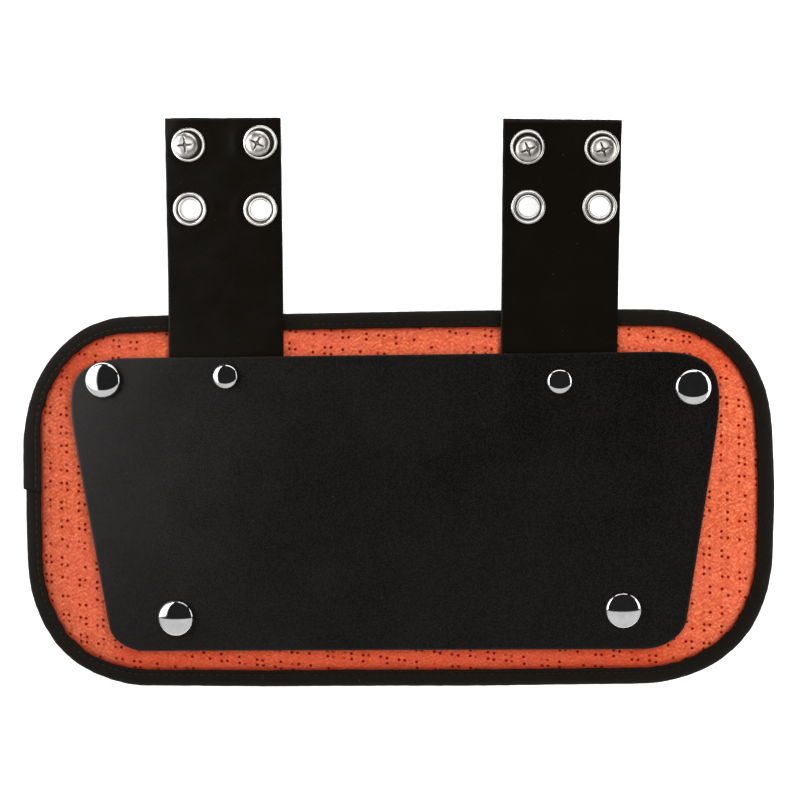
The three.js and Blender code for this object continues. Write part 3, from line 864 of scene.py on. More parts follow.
def swell(piece, held):
    group = piece.vertex_groups.new(name="held")
    group.add([int(i) for i in np.nonzero(held)[0]], 1.0, "REPLACE")
    cloth = piece.modifiers.new("swell", "CLOTH")
    settings = cloth.settings
    settings.vertex_group_mass = "held"
    settings.use_pressure = True
    settings.uniform_pressure_force = padSoft["pressure"]
    settings.tension_stiffness = settings.compression_stiffness = 25
    settings.bending_stiffness = 2
    settings.effector_weights.gravity = 0
    cloth.collision_settings.use_collision = False
    cloth.point_cache.frame_start = 1
    cloth.point_cache.frame_end = padSoft["frames"]
    for number in range(1, padSoft["frames"] + 1):
        bpy.context.scene.frame_set(number)
    baked(piece)
    bpy.context.scene.frame_set(1)


def settleCover(values, outline, travel):
    # Fits the swollen cover to what holds it: tape, plate, straps and rivet tails (millimetres)
    flat = values[:, :2]
    z = values[:, 2]
    tree = KDTree(len(outline))
    for i, (x, y, _, _) in enumerate(outline):
        tree.insert((x, y, 0), i)
    tree.balance()
    nearest = np.array([tree.find((x, y, 0))[1:] for x, y in flat])
    inset = nearest[:, 1]
    along = travel[nearest[:, 0].astype(int)]
    front = z > (tapeBack + padTop) / 2

    gather = np.array([wander(s, 1, padSoft["puckerEvery"]) + 0.5 * wander(s, 2, 2.6) for s in along])
    within = inset - seamInset
    fade = np.exp(-np.clip(within, 0, None) / 3.2) * (within > -0.5)
    rolling = np.array([noise.noise(Vector((x / 28, y / 28, 4.2))) for x, y in flat]) * 0.5
    raised = gather * fade * padSoft["pucker"] * 2 + rolling * ramp(within, 0, 6)
    z = np.where(front, z + raised, z)
    z = np.where(~front & (within > 0), z + np.abs(gather) * fade * padSoft["pucker"], z)
    z -= front * padSoft["crease"] * np.exp(-np.abs(within) / 1.1)

    clear = sideDistance(flat, np.array([tuple(p) for p in plateEdge()]))
    roof = padTop + 1.5 * ramp(clear, 0.6, 5.0)
    for side in ("left", "right"):
        x0, y0, lean = strapRoots[side]
        dx, dy = flat[:, 0] - x0, flat[:, 1] - y0
        across = dx * math.cos(lean) - dy * math.sin(lean)
        up = dx * math.sin(lean) + dy * math.cos(lean)
        besides = np.abs(across) - strapFit["width"] / 2
        floor = strapFit["middle"] - strapFit["thickness"] / 2 - tapeFit["gap"]
        groove = floor + (padTop + 1.5 - floor) * ramp(besides, 0.35, 2.6)
        roof = np.where(up > -strapFit["tail"] - 0.5, np.minimum(roof, groove), roof)
    z = np.where(front, np.minimum(z, roof), z)

    flatRadius, outerRadius, depth = padSoft["tailPocket"]
    base = np.zeros(len(z))
    for name in cornerRivets:
        x, y = middleOf(name)
        away = np.hypot(flat[:, 0] - x, flat[:, 1] - y)
        base = np.maximum(base, depth * (1 - ramp(away, flatRadius, outerRadius)))
    z = np.where(front, z, np.maximum(z, base))
    # Painted shade along the seam, fading out within two millimetres of it
    hem = 1 - ramp(within, -0.2, 1.8)
    # Painted shade, darker where the band of cover between the plate and the tape is narrowest
    tight = 1 - ramp(np.clip(clear, 0, None) + np.clip(within, 0, None), 7.0, 13.0)
    return np.column_stack([flat, z]), hem, tight


cornerRivets = [name for name in frame["nodes"] if name.startswith("rivet_")]
strapRivets = ["strap_rivet_left", "strap_rivet_right"]


def makePad():
    points, faces = padStartMesh()
    pad = meshPiece("padCover", points, faces, "cover_mesh", ["pad"])
    remesh = pad.modifiers.new("even", "REMESH")
    remesh.mode = "VOXEL"
    remesh.voxel_size = padSoft["voxel"] * mm
    baked(pad)
    start = coordinates(pad.data) / mm
    outline, travel = padEdge(1.0)
    within = -sideDistance(start[:, :2], padEdge(4.0)[0][:, :2]) - seamInset
    clear = sideDistance(start[:, :2], np.array([tuple(p) for p in plateEdge()][::6]))
    height = start[:, 2]
    underPlate = (clear < -2) & (height > (tapeBack + padTop) / 2)
    held = (within < 0.8) | underPlate | ((height < 1.0) & (within > 7))  # last, the flat of the back
    swell(pad, held)
    swollen = coordinates(pad.data) / mm
    moved = swollen - start
    length = np.linalg.norm(moved, axis=1, keepdims=True)
    moved *= np.minimum(1, padSoft["cap"] / np.maximum(length, 1e-9))
    moved[held] = 0
    setCoordinates(pad.data, (start + moved) * mm)
    fine = pad.modifiers.new("fine", "SUBSURF")
    fine.levels = fine.render_levels = 1
    baked(pad)
    values, hem, tight = settleCover(coordinates(pad.data) / mm, outline, travel)
    setCoordinates(pad.data, values * mm)
    addPointValue(pad, "hem", hem)
    addPointValue(pad, "tight", tight)
    pad.data.shade_smooth()
    pad.data.materials.clear()
    pad.data.materials.append(finishes["cover_mesh"])
    print("pad cover:", len(pad.data.vertices), "points, furthest swell",
          round(float(length.max()), 2), "mm")


makePad()


# Tape round the edge

tapeSoft = {
    "spacing": 1.5,       # between sections along the edge
    "groove": 0.7,        # depth of the line that the stitches pull down
    "grooveAt": 5.4,      # from the outer edge
    "ripple": 0.09,
    "stray": 0.5,         # how far its inner edges wander in the corners
    "lapEnd": 4.3,        # height on the left side where the doubled tape stops
    "lapSlant": 2.4,      # how much lower its end is at the inner edge
    "lapStep": 1.2,
    "lapFade": (42.0, 22.0),  # the doubling thins out between these heights
    "stitch": 2.5,
    "stitchEvery": 3.3,
    "threadRadius": 0.26,
}
tapeMiddle = (tapeBack + strapFit["middle"] - strapFit["thickness"] / 2 - tapeFit["gap"]) / 2
tapeHalf = tapeMiddle - tapeBack


def tapeSection(grow):
    # Outside of the folded tape from its front lip round to its back lip: inset, height, share of ripple
    bead, lip = tapeFit["bead"], tapeFit["lip"]
    cover = bead + lip
    top = tapeHalf + grow / 2
    groove = tapeSoft["groove"]
    at = tapeSoft["grooveAt"]
    path = [(cover, top - 0.5, 0.3), (cover - 0.12, top - 0.16, 0.6), (cover - 0.4, top, 1),
            (cover - 1.0, top + 0.02, 1), (at + 0.45, top - groove * 0.35, 1), (at, top - groove, 0.5)]
    for angle in range(82, -83, -9):
        turn = math.radians(angle)
        height = (top if angle > 0 else tapeHalf) * math.sin(turn)
        path.append((bead - (bead + grow) * math.cos(turn), height, 1))
    path += [(at, groove - tapeHalf, 0.5), (at + 0.45, groove * 0.35 - tapeHalf, 1),
             (cover - 1.0, -tapeHalf, 1), (cover - 0.4, -tapeHalf, 1),
             (cover - 0.12, 0.16 - tapeHalf, 0.6), (cover, 0.5 - tapeHalf, 0.3)]
    return path


def tapeInside():
    hollow = tapeFit["bead"] - tapeFit["thickness"]
    half = tapeHalf - tapeFit["thickness"]
    cover = tapeFit["bead"] + tapeFit["lip"]
    path = [(cover, -half)]
    for angle in range(-90, 91, 30):
        turn = math.radians(angle)
        path.append((tapeFit["bead"] - hollow * math.cos(turn), half * math.sin(turn)))
    return path + [(cover, half)]


def ripple(travel, inset, bend):
    wave = wander(travel, 3, 3.4) + 0.6 * wander(travel + inset * 0.4, 4, 1.6)
    return wave * tapeSoft["ripple"] * (1 + 0.8 * bend)


def sweptTape(name, edge, travel, rings, closed, bends):
    # rings: for each edge point, a list of (inset, height, ripple share)
    points = []
    for (x, y, nx, ny), s, ring, bend in zip(edge, travel, rings, bends):
        stray = tapeSoft["stray"] * wander(s, 8, 4.5) * (0.5 + bend)
        for inset, height, share in ring:
            inset += stray * min(1.0, max(0.0, (inset - tapeFit["bead"]) / tapeFit["lip"])) ** 2
            out = ripple(s, inset, bend) * share if share else 0.0
            angle = math.copysign(math.pi / 2, height)
            if inset < tapeFit["bead"]:
                angle = math.atan2(height, tapeFit["bead"] - inset)
            inset -= out * math.cos(angle)
            height += out * math.sin(angle) if height > 0 else max(out * math.sin(angle), -0.1)
            points.append(Vector((x - nx * inset, y - ny * inset, tapeMiddle + height)) * mm)
    count = len(rings[0])
    faces = bandFaces(len(rings), count, closed=closed)
    if not closed:
        faces += endFaces(len(rings), count)
    piece = meshPiece(name, points, faces, "edge_tape", ["edge_binding"])
    lay = piece.data.uv_layers.new(name="tapeLie")
    spans = [math.dist(here[:2], after[:2]) for here, after in zip(rings[0], rings[0][1:])]
    girth = np.concatenate([[0], np.cumsum(spans)])
    step = travel[1] - travel[0]
    lastSpan = (len(rings) - 1) * count
    for polygon in piece.data.polygons:
        for loop in polygon.loop_indices:
            i, j = divmod(piece.data.loops[loop].vertex_index, count)
            if closed and i == 0 and polygon.index >= lastSpan:
                i = len(rings)
            lay.data[loop].uv = (i * step, girth[j])
    return piece


def cornerBend(edge):  # 0 where the edge runs straight, 1 where it turns most
    after, before = np.roll(edge[:, 2:], -3, axis=0), np.roll(edge[:, 2:], 3, axis=0)
    turn = np.abs(after[:, 0] * before[:, 1] - after[:, 1] * before[:, 0])
    return np.clip(turn / (turn.max() or 1), 0, 1)


def makeTape():
    edge, travel = padEdge(tapeSoft["spacing"])
    bends = cornerBend(edge)
    inside = [(inset, height, 0) for inset, height in tapeInside()]
    rings = [tapeSection(0.0) + inside] * len(edge)
    sweptTape("edgeTape", edge, travel, rings, True, bends)

    # The doubled stretch: a second layer from the left side's lap up into the corner
    x, y = edge[:, 0], edge[:, 1]
    stretch = np.nonzero((x < 0) & (y > tapeSoft["lapEnd"] + 0.2) & (y < tapeSoft["lapFade"][0] + 3))[0]
    rings = []
    for i in stretch:
        share = float(ramp(edge[i, 1], *tapeSoft["lapFade"]))
        grow = 0.1 + (tapeSoft["lapStep"] - 0.1) * share
        outer = [(inset + 0.4 * share * (inset > 6), height, wave)
                 for inset, height, wave in tapeSection(grow)]
        under = [(inset + 0.15, height * 0.985, 0)
                 for inset, height, _ in reversed(tapeSection(0.0)[1:-1])]
        rings.append(outer + under)
    lap = sweptTape("tapeLap", edge[stretch], travel[stretch], rings, False, bends[stretch])
    values = coordinates(lap.data)
    near = np.clip(1 - (values[:, 1] / mm - tapeSoft["lapEnd"]) / 8, 0, 1)
    inner = (values[:, 0] / mm + padWidth / 2) / (tapeFit["bead"] + tapeFit["lip"])
    values[:, 1] -= near * inner * tapeSoft["lapSlant"] * mm
    setCoordinates(lap.data, values)


def makeStitches():
    # One run of stitches on each face of the tape, sunk in its groove
    spacing = 0.5
    outline, travel = padEdge(spacing)
    length = travel[-1] + spacing
    count = int(length / tapeSoft["stitchEvery"])
    sides = 6
    stations = [(-0.5, 0.45), (-0.32, 0.95), (0.0, 1.0), (0.32, 0.95), (0.5, 0.45)]  # place, thickness
    for name, facing in (("stitchesFront", 1), ("stitchesBack", -1)):
        points = []
        faces = []
        for n in range(count):
            middle = (n + 0.12 * wander(n, 5, 0.7)) * length / count
            faces += bandFaces(len(stations), sides, len(points))
            faces += endFaces(len(stations), sides, len(points))
            for share, thick in stations:
                at = int(round((middle + share * tapeSoft["stitch"]) / spacing)) % len(outline)
                x, y, nx, ny = outline[at]
                arch = 1 - (2 * share) ** 2
                top = tapeHalf + (doubledBy(x, y) / 2 if facing > 0 else 0)
                height = tapeMiddle + facing * (top - tapeSoft["groove"] - 0.14 + 0.3 * arch)
                for k in range(sides):
                    angle = 2 * math.pi * k / sides
                    radius = tapeSoft["threadRadius"] * thick
                    inset = tapeSoft["grooveAt"] + radius * math.cos(angle)
                    z = height + radius * math.sin(angle)
                    points.append(Vector((x - nx * inset, y - ny * inset, z)) * mm)
        meshPiece(name, points, faces, "edge_tape", finish="thread")


def doubledBy(x, y):
    if x > 0 or y < tapeSoft["lapEnd"]:
        return 0.0
    return tapeSoft["lapStep"] * float(ramp(y, *tapeSoft["lapFade"]))


makeTape()
makeStitches()
print("tape and stitches made")


# Plate

def makePlate():
    edge = plateEdge()
    low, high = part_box("back_plate")
    back, front = low.z / mm, high.z / mm
    curve = plateShape["edgeRound"]
    count = len(edge)
    normals = []
    for i in range(count):
        run = edge[(i + 1) % count] - edge[i - 1]
        normals.append(Vector((run.y, -run.x)).normalized())
    arcs = [math.radians(angle) for angle in range(0, 91, 15)]
    sections = [(curve + 0.6, back)]
    sections += [(curve - curve * math.sin(a), back + curve - curve * math.cos(a)) for a in arcs]
    sections += [(curve - curve * math.cos(a), front - curve + curve * math.sin(a)) for a in arcs]
    sections += [(curve + 0.6, front)]
    points = [Vector((p.x - n.x * inset, p.y - n.y * inset, height)) * mm
              for inset, height in sections for p, n in zip(edge, normals)]
    faces = bandFaces(len(sections), count) + endFaces(len(sections), count)
    plate = meshPiece("plateShell", points, faces, "plate_plastic", ["back_plate"])
    values = coordinates(plate.data) / mm
    rise = np.clip((values[:, 2] - (front - curve)) / curve, 0, 1)
    inset = -sideDistance(values[:, :2], np.array([tuple(p) for p in edge]))
    addPointValue(plate, "edge", rise * np.clip(1 - inset / 0.9, 0, 1))
    for name in cornerRivets + strapRivets:
        drill(plate, name, (back + front) / 2, 2.3 if name in cornerRivets else 1.9)
    plate.data.set_sharp_from_angle(angle=math.radians(35))


def drill(plate, name, height, radius):
    x, y = middleOf(name)
    points, faces = turnedMesh([(0, -3), (radius, -3), (radius, 3), (0, 3)], 24)
    tool = bpy.data.meshes.new("drill")
    tool.from_pydata([tuple(p) for p in points], [], faces)
    cutter = bpy.data.objects.new("drill", tool)
    bpy.context.scene.collection.objects.link(cutter)
    cutter.location = Vector((x, y, height)) * mm
    hole = plate.modifiers.new("hole", "BOOLEAN")
    hole.operation = "DIFFERENCE"
    hole.object = cutter
    baked(plate)
    bpy.data.objects.remove(cutter)
    bpy.data.meshes.remove(tool)


makePlate()
print("plate made")


# Rivets

rivetShape = {
    "corner": {"radius": 7.75, "dome": 3.6, "post": 2.0, "tail": 6.0, "tailThick": 1.0},
    "strap": {"radius": 5.4, "dome": 2.6, "post": 1.6, "tail": 4.0, "tailThick": 0.8},
    "rim": 0.5,
    "skirt": 39.0,   # steepest slope of the crown, degrees
    "sides": 72,
    "crownSteps": 16,
}


def makeRivet(name):
    low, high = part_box(name)
    size = rivetShape["strap" if name.startswith("strap") else "corner"]
    top, bottom = high.z / mm, low.z / mm
    seat = top - size["dome"]
    rim = rivetShape["rim"]
    tailTop = bottom + size["tailThick"]
    tail = [(0, bottom, 0), (size["tail"], bottom, 0.25), (size["tail"], tailTop, 0.25),
            (size["post"], tailTop, 0), (size["post"], seat, 0), (size["radius"] - 0.5, seat, 0)]
    profile = rounded(tail, 3)

    # The crown is an ellipse that runs out in an even skirt
    wide, tall = size["radius"], size["dome"] - rim
    steepest = math.tan(math.radians(rivetShape["skirt"]))
    turn = math.atan2(steepest * wide, tall)
    out, up = wide * math.sin(turn), tall * math.cos(turn)
    hem = seat + rim + up - steepest * (wide - out)
    profile += [(wide - 0.12, seat + 0.05), (wide, seat + 0.2), (wide, hem)]
    steps = rivetShape["crownSteps"]
    for i in range(steps):
        angle = turn * (1 - i / steps)
        profile.append((wide * math.sin(angle), seat + rim + tall * math.cos(angle)))
    profile.append((0, top))
    points, faces = turnedMesh(profile, rivetShape["sides"])
    piece = meshPiece(name.replace("rivet", "chromeRivet"), points, faces, "rivet_chrome", [name])
    piece.data.transform(Matrix.Translation(Vector((*middleOf(name), 0)) * mm))


for rivetName in cornerRivets + strapRivets:
    makeRivet(rivetName)
print("rivets made")


# Eyelets

eyeletShape = {
    "bore": 4.08,
    "barrel": 4.68,
    "flange": 7.4,
    "face": 1.6,       # flange faces from the strap's middle
    "front": 1.25,
    "back": 0.9,
    "sides": 96,
    # Rolled front from rim to bore: share of the way out, share of its height
    "roll": [(1.0, 0.0), (1.0, 0.25), (0.985, 0.5), (0.95, 0.74), (0.89, 0.9), (0.81, 0.98), (0.72, 1.0),
             (0.63, 0.95), (0.55, 0.82), (0.49, 0.62), (0.45, 0.38), (0.42, 0.2), (0.39, 0.18), (0.36, 0.3),
             (0.31, 0.48), (0.24, 0.58), (0.16, 0.6), (0.08, 0.54), (0.02, 0.42), (0.0, 0.24)],
    "crease": (0.42, 0.085),   # share of the way out, and half width, where the painted shade sits
}


def makeEyelet(node):
    matrix, lowest = axisFrame(node)
    bore, barrel, flange, face = (eyeletShape[key] for key in ("bore", "barrel", "flange", "face"))
    backFace = face + eyeletShape["back"]
    matrix = matrix @ Matrix.Translation((0, 0, (lowest + backFace) * mm))
    land = flange - bore
    profile = rounded([(bore, -backFace, 0.2), (flange, -backFace, 0.3), (flange, -face, 0.2),
                       (barrel, -face, 0), (barrel, face, 0)], 3)
    profile += [(bore + out * land, face + up * eyeletShape["front"]) for out, up in eyeletShape["roll"]]
    points, faces = turnedMesh(profile, eyeletShape["sides"], closed=True)
    piece = meshPiece(node.replace("eyelet", "nickelEyelet"), points, faces, "eyelet_nickel", [node])
    values = coordinates(piece.data) / mm
    out = (np.hypot(values[:, 0], values[:, 1]) - bore) / land
    place, spread = eyeletShape["crease"]
    # Painted shade in the crease of the rolled front
    grime = np.exp(-((out - place) / spread) ** 2)
    if "_top_" in node:  # painted shadow in the gap under a screw's head
        grime = np.maximum(grime, out < place)
    addPointValue(piece, "grime", grime * (values[:, 2] > face))
    piece.data.transform(matrix)
    return matrix


eyeletFrames = {node: makeEyelet(node) for node in frame["nodes"] if node.startswith("eyelet_")}
print("eyelets made")


# Screws and nuts

screwShape = {
    "head": 5.38,
    "headHeight": 3.0,
    "seat": 3.15,          # under the head, from the strap's middle
    "shank": 2.58,
    "wall": 0.85,          # height of the head's upright side
    "crown": (2.3, 0.62),  # powers that draw the head's top
    "nutFace": 2.8,
    "nutHeight": 4.0,
    "nutFlats": 4.98,
    "nutPlay": 0.3,
    "tip": 1.5,
    "pitch": 0.8,
    "threadDepth": 0.32,
    "armWidth": 0.62,
    "armLength": 7.4,
    "recess": 1.5,
    "grime": 0.65,         # the most painted shade that the recess holds
    "turn": {"left_outer": 4, "left_inner": -28, "right_inner": 20, "right_outer": 18},
}


def recessDepth(x, y, turn):
    # Depth of the cross recess: arms that get shallower and narrower towards their ends
    angle = math.radians(turn)
    u = x * math.cos(angle) + y * math.sin(angle)
    v = y * math.cos(angle) - x * math.sin(angle)
    deepest = 0.0
    for along, across in ((abs(u), abs(v)), (abs(v), abs(u))):
        reach = max(0.0, 1 - along / (screwShape["armLength"] / 2))
        half = screwShape["armWidth"] / 2 * (0.7 + 0.3 * reach)
        wall = min(1.0, max(0.0, (half + 0.12 - across) / 0.24))
        deepest = max(deepest, min(1.0, reach * 1.9) * wall)
    hub = max(0.0, 1 - math.hypot(x, y) / 1.0)
    return screwShape["recess"] * min(1.0, max(deepest, min(1.0, hub * 2)))


def makeScrew(node):
    matrix, lowest = axisFrame(node)
    shank, head, seat = screwShape["shank"], screwShape["head"], screwShape["seat"]
    tip = -screwShape["nutFace"] - screwShape["nutHeight"] - screwShape["tip"]
    matrix = matrix @ Matrix.Translation((0, 0, (lowest - tip) * mm))
    turn = screwShape["turn"][node.replace("screw_", "")]
    sides = 96
    points = []
    grime = []

    def thread(angle, height):
        turns = height / screwShape["pitch"] - angle / (2 * math.pi)
        return screwShape["threadDepth"] * abs(2 * (turns - math.floor(turns)) - 1)

    def addRow(radius, height, shape=None):
        for i in range(sides):
            angle = 2 * math.pi * i / sides
            r = radius - (thread(angle, height) if shape == "thread" else 0)
            x, y = r * math.cos(angle), r * math.sin(angle)
            drop = recessDepth(x, y, turn) if shape == "recess" else 0
            # Painted shade in the cross recess, darker where it is deeper
            grime.append(min(screwShape["grime"], drop))
            points.append(Vector((x, y, height - drop)) * mm)

    addRow(shank * 0.2, tip)
    addRow(shank - 0.5, tip)
    height = tip + 0.15
    while height < seat - 0.6:
        addRow(shank, height, "thread")
        height += screwShape["pitch"] / 5
    addRow(shank, seat)
    addRow(head - 0.3, seat)
    addRow(head - 0.08, seat + 0.08)
    for k in range(7):
        addRow(head, seat + 0.25 + 0.1 * k)
    rise = screwShape["headHeight"] - screwShape["wall"]
    outer, inner = screwShape["crown"]
    steps = 44
    for k in range(1, steps):
        out = 1 - k / steps
        addRow(head * out, seat + screwShape["wall"] + rise * (1 - out ** outer) ** inner, "recess")
    middle = len(points)
    rings = middle // sides
    grime.append(screwShape["grime"])
    points.append(Vector((0, 0, seat + screwShape["headHeight"] - screwShape["recess"])) * mm)
    last = middle - sides
    faces = [tuple(reversed(range(sides)))] + bandFaces(rings, sides)
    faces += [(last + i, last + (i + 1) % sides, middle) for i in range(sides)]
    piece = meshPiece(node.replace("screw", "panScrew"), points, faces, "screw_steel", [node])
    addPointValue(piece, "grime", grime)
    piece.data.transform(matrix)
    return matrix


def makeNut(node, matrix):
    # A hexagon with its corners turned off by a cone on the outer face
    flats = screwShape["nutFlats"]
    bore = screwShape["shank"] + screwShape["nutPlay"]
    high = -screwShape["nutFace"]
    low = high - screwShape["nutHeight"]
    corner = flats / math.cos(math.pi / 6)
    narrow = flats - 0.15
    sides = 72
    rows = [(low + 0.7 * share, narrow + (corner - narrow) * share, None) for share in (0, 0.33, 0.66, 1)]
    rows += [(high, corner, None), (high, None, bore + 0.3), (high - 0.3, None, bore),
             (low + 0.3, None, bore), (low, None, bore + 0.3)]
    points = []
    for height, cone, radius in rows:
        for i in range(sides):
            angle = 2 * math.pi * i / sides
            near = (angle + math.pi / 6) % (math.pi / 3) - math.pi / 6
            r = radius or min(flats / math.cos(near), cone)
            points.append(Vector((r * math.cos(angle), r * math.sin(angle), height)) * mm)
    faces = bandFaces(len(rows), sides, closed=True)
    piece = meshPiece(node.replace("nut", "hexNut"), points, faces, "screw_steel", [node], smooth=False)
    piece.data.transform(matrix)


for node in [n for n in frame["nodes"] if n.startswith("screw_")]:
    makeNut(node.replace("screw", "nut"), makeScrew(node))
print("screws and nuts made")


# Straps

strapSoft = {
    "step": 1.0,         # grid of the surface
    "edgeRound": 0.35,
    "ragged": 0.12,      # at the cut end
    "cut": {"left": (-0.15, -0.009), "right": (0.25, -0.01)},  # the cut end's offset and slant
    "crimp": 0.3,        # height of the ridge that each eyelet raises round itself
    "holeRadius": 5.4,
    "rivetHole": 2.3,
    # Where the webbing has taken a set: place across and along, reach of it both ways, height
    "sets": {"left": [(-28.0, 103.0, 6.0, 9.0, -1.6), (5.5, 101.0, 3.0, 6.5, 0.6)], "right": []},
}


def strapBumps(across, along, holes, side):
    up = 0.25 * noise.noise(Vector((across / 22, along / 30, 3.0 if side == "left" else 9.0)))
    for x, y in holes:
        away = math.hypot(across - x, along - y)
        up += strapSoft["crimp"] * math.exp(-((away - 10.0) / 2.0) ** 2)
    for x, y, wide, long, height in strapSoft["sets"][side]:
        up += height * math.exp(-((across - x) / wide) ** 2 - ((along - y) / long) ** 2)
    return up * min(1.0, max(0.0, (along - 30) / 25))


def makeStrap(side):
    step = strapSoft["step"]
    half = strapFit["width"] / 2
    columns = np.arange(-half, half + 0.01, step)
    rows = np.arange(-strapFit["tail"], strapFit["reach"] + 0.01, step)
    rows[-1] = strapFit["reach"]
    holes = []
    x0, y0, lean = strapRoots[side]
    for node, matrix in eyeletFrames.items():
        if side in node:
            place = matrix.translation / mm
            dx, dy = place.x - x0, place.y - y0
            across = dx * math.cos(lean) - dy * math.sin(lean)
            flatUp = dx * math.sin(lean) + dy * math.cos(lean)
            holes.append((across, alongFor(side, flatUp)))
    holes.append((0.0, 0.0))
    points = []
    local = []
    offset, slant = strapSoft["cut"][side]
    for along in rows:
        for across in columns:
            end = along
            if along > strapFit["reach"] - 0.5:
                end += offset + slant * across
                end += strapSoft["ragged"] * wander(across, 11 if side == "left" else 12, 1.7)
            up = strapBumps(across, along, holes[:-1], side)
            points.append(strapPlace(side, across, end, up) * mm)
            local.append((across, along))
    count = len(columns)
    faces = []
    radii = [strapSoft["holeRadius"]] * (len(holes) - 1) + [strapSoft["rivetHole"]]
    for i in range(len(rows) - 1):
        for j in range(count - 1):
            x, y = columns[j] + step / 2, rows[i] + step / 2
            if any(math.hypot(x - hx, y - hy) < r for (hx, hy), r in zip(holes, radii)):
                continue
            faces.append((i * count + j, i * count + j + 1, (i + 1) * count + j + 1, (i + 1) * count + j))
    strap = meshPiece("webbingStrap_" + side, points, faces, "strap_webbing", ["strap_" + side])
    lay = strap.data.uv_layers.new(name="strapLie")
    for loop in strap.data.loops:
        lay.data[loop.index].uv = local[loop.vertex_index]
    atEdge = [abs(x) > half - 0.5 or y > strapFit["reach"] - 0.5 for x, y in local]
    addPointValue(strap, "edge", atEdge)
    form = bmesh.new()
    form.from_mesh(strap.data)
    bmesh.ops.delete(form, geom=[v for v in form.verts if not v.link_faces], context="VERTS")
    form.to_mesh(strap.data)
    form.free()
    thick = strap.modifiers.new("thick", "SOLIDIFY")
    thick.thickness = strapFit["thickness"] * mm
    thick.offset = 0
    soft = strap.modifiers.new("soft", "BEVEL")
    soft.width = strapSoft["edgeRound"] * mm
    soft.segments = 2
    soft.limit_method = "ANGLE"
    soft.angle_limit = math.radians(50)
    baked(strap)
    strap.data.shade_smooth()
    print("strap", side, len(strap.data.polygons), "faces")


def alongFor(side, flatUp):
    # Length along the strap of a point whose plan distance from the rivet is known
    x0, y0, lean = strapRoots[side]
    low, high = 0.0, strapFit["reach"] + 5
    for _ in range(40):
        middle = (low + high) / 2
        place = strapPlace(side, 0.0, middle)
        reached = (place.x - x0) * math.sin(lean) + (place.y - y0) * math.cos(lean)
        low, high = (middle, high) if reached < flatUp else (low, middle)
    return low


for strapSide in ("left", "right"):
    makeStrap(strapSide)


# Floor and light

metals = ("rivetChrome", "eyeletNickel", "screwSteel")
studio = {
    "floor": 16.0,            # metres across
    "floorColour": (0.93, 0.93, 0.93, 1.0),
    "floorGlow": 0.75,
    "dark": (0.016, 0.016, 0.016, 1.0),    # what the shiny surfaces see between the cards
    "backdrop": (0.8, 0.8, 0.8, 1.0),      # what the camera sees past the floor
    # Soft light from above: place, width, height and brightness
    "lights": [
        {"name": "overheadLight", "at": (0.1, 0.0, 1.7), "size": (3.2, 3.2), "bright": 1.55},
        {"name": "sideLight", "at": (0.9, 0.4, 0.9), "size": (0.7, 0.7), "bright": 4.6},
    ],
    # Cards that only the shiny surfaces show: two corners, the way that each faces, brightness, soft
    # edge and, where not all pieces are lit by it, the materials that are
    "cards": [
        {"name": "leftCard", "low": (-2.4, -0.055, 0.165), "high": (-0.185, 0.42, 0.165),
         "faces": (0, 0, -1), "bright": 4.4, "soft": 0.05},
        {"name": "frontFill", "low": (-1.8, -2.4, 0.236), "high": (1.8, -0.066, 0.236),
         "faces": (0, 0, -1), "bright": 0.2, "soft": 0.012},
        {"name": "frontCard", "low": (-1.8, -2.4, 0.237), "high": (1.8, -0.066, 0.237),
         "faces": (0, 0, -1), "bright": 0.42, "soft": 0.012, "onto": metals},
        {"name": "farCard", "low": (-0.1, 0.28, 0.0), "high": (0.205, 0.28, 0.12),
         "faces": (0, -1, 0), "bright": 1.6, "soft": 0.025, "onto": metals},
        {"name": "rightCard", "low": (0.26, -0.05, 0.0), "high": (0.26, 0.245, 0.085),
         "faces": (-1, 0, 0), "bright": 1.6, "soft": 0.025, "onto": metals},
        {"name": "leftFarCard", "low": (-1.2, 0.3, 0.0), "high": (-1.2, 1.3, 0.3),
         "faces": (1, 0, 0), "bright": 2.5, "soft": 0.05, "onto": metals[:1]},
        {"name": "rightFarCard", "low": (0.73, -0.05, 0.15), "high": (0.73, 0.48, 0.37),
         "faces": (-1, 0, 0), "bright": 1.6, "soft": 0.05, "onto": metals[:1]},
        {"name": "fittingsCard", "low": (-0.4, -0.2, 0.6), "high": (0.4, 0.5, 0.6),
         "faces": (0, 0, -1), "bright": 1.9, "soft": 0.2, "onto": metals[1:]},
    ],
}


def addFloor():
    half = studio["floor"] / 2
    below = -0.0003  # just under the part
    corners = [(-half, -half, below), (half, -half, below), (half, half, below), (-half, half, below)]
    mesh = bpy.data.meshes.new("floor")
    mesh.from_pydata(corners, [], [(0, 1, 2, 3)])
    floor = bpy.data.objects.new("floor", mesh)
    bpy.context.scene.collection.objects.link(floor)
    material, _, shader = newMaterial("floorPaper", {"Roughness": 0.9, "Specular IOR Level": 0.1})
    shader.inputs["Base Color"].default_value = studio["floorColour"]
    shader.inputs["Emission Color"].default_value = (1, 1, 1, 1)
    shader.inputs["Emission Strength"].default_value = studio["floorGlow"]
    mesh.materials.append(material)


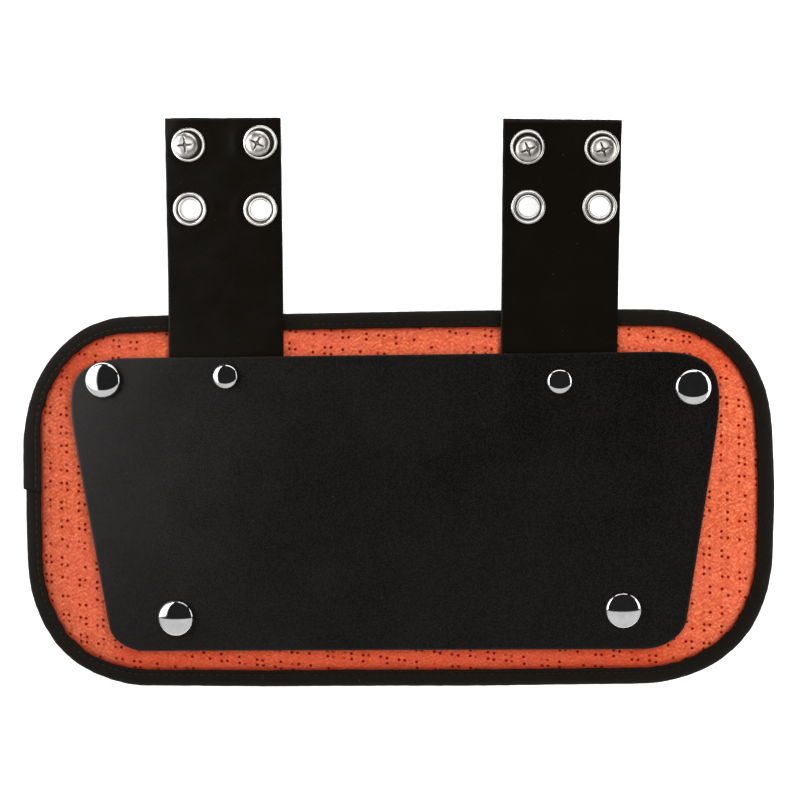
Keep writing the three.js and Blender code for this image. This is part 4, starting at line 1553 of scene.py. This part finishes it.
def areaLight(name, at, size, faces, bright):
    data = bpy.data.lights.new(name, "AREA")
    data.shape = "RECTANGLE"
    data.size, data.size_y = size
    data.energy = bright * size[0] * size[1] * math.pi
    light = bpy.data.objects.new(name, data)
    light.location = at
    light.rotation_euler = Vector(faces).to_track_quat("-Z", "Y").to_euler()
    light.visible_camera = False
    bpy.context.scene.collection.objects.link(light)
    return light


def addCard(card):
    low, high = Vector(card["low"]), Vector(card["high"])
    spans = [side for side in high - low if side > 0]
    light = areaLight(card["name"], (low + high) / 2, spans, card["faces"], card["bright"])
    light.visible_diffuse = False
    light.data.use_nodes = True
    tree = light.data.node_tree
    where = put(tree, "ShaderNodeNewGeometry").outputs["Parametric"]
    split = put(tree, "ShaderNodeSeparateXYZ", {"Vector": where}).outputs
    strength = 1.0
    for axis, span in zip("XY", spans):
        soft = card["soft"] / span
        for edge, inner in ((0.0, soft), (1.0, 1.0 - soft)):
            strength = calc(tree, "MULTIPLY", smoothStep(tree, split[axis], edge, inner), strength)
    tree.links.new(strength, tree.nodes["Emission"].inputs["Strength"])
    return light


def wearersOf(materials):  # a collection of the pieces that wear these materials
    group = bpy.data.collections.new("lit" + materials[0])
    for piece in bpy.context.scene.objects:
        finish = piece.active_material
        if finish and finish.name in materials:
            group.objects.link(piece)
    return group


def addLight():
    for box in studio["lights"]:
        aim = Vector((0, 0.02, 0)) - Vector(box["at"])
        areaLight(box["name"], box["at"], box["size"], aim, box["bright"]).visible_glossy = False
    for card in studio["cards"]:
        light = addCard(card)
        if "onto" in card:
            light.light_linking.receiver_collection = wearersOf(card["onto"])
    world = bpy.data.worlds.new("studio")
    bpy.context.scene.world = world
    world.use_nodes = True
    tree = world.node_tree
    seen = put(tree, "ShaderNodeLightPath").outputs["Is Camera Ray"]
    colour = mixColour(tree, seen, studio["dark"], studio["backdrop"])
    tree.links.new(colour, tree.nodes["Background"].inputs["Color"])


addFloor()
addLight()
bpy.context.scene.view_settings.view_transform = "Standard"
print("studio lit")
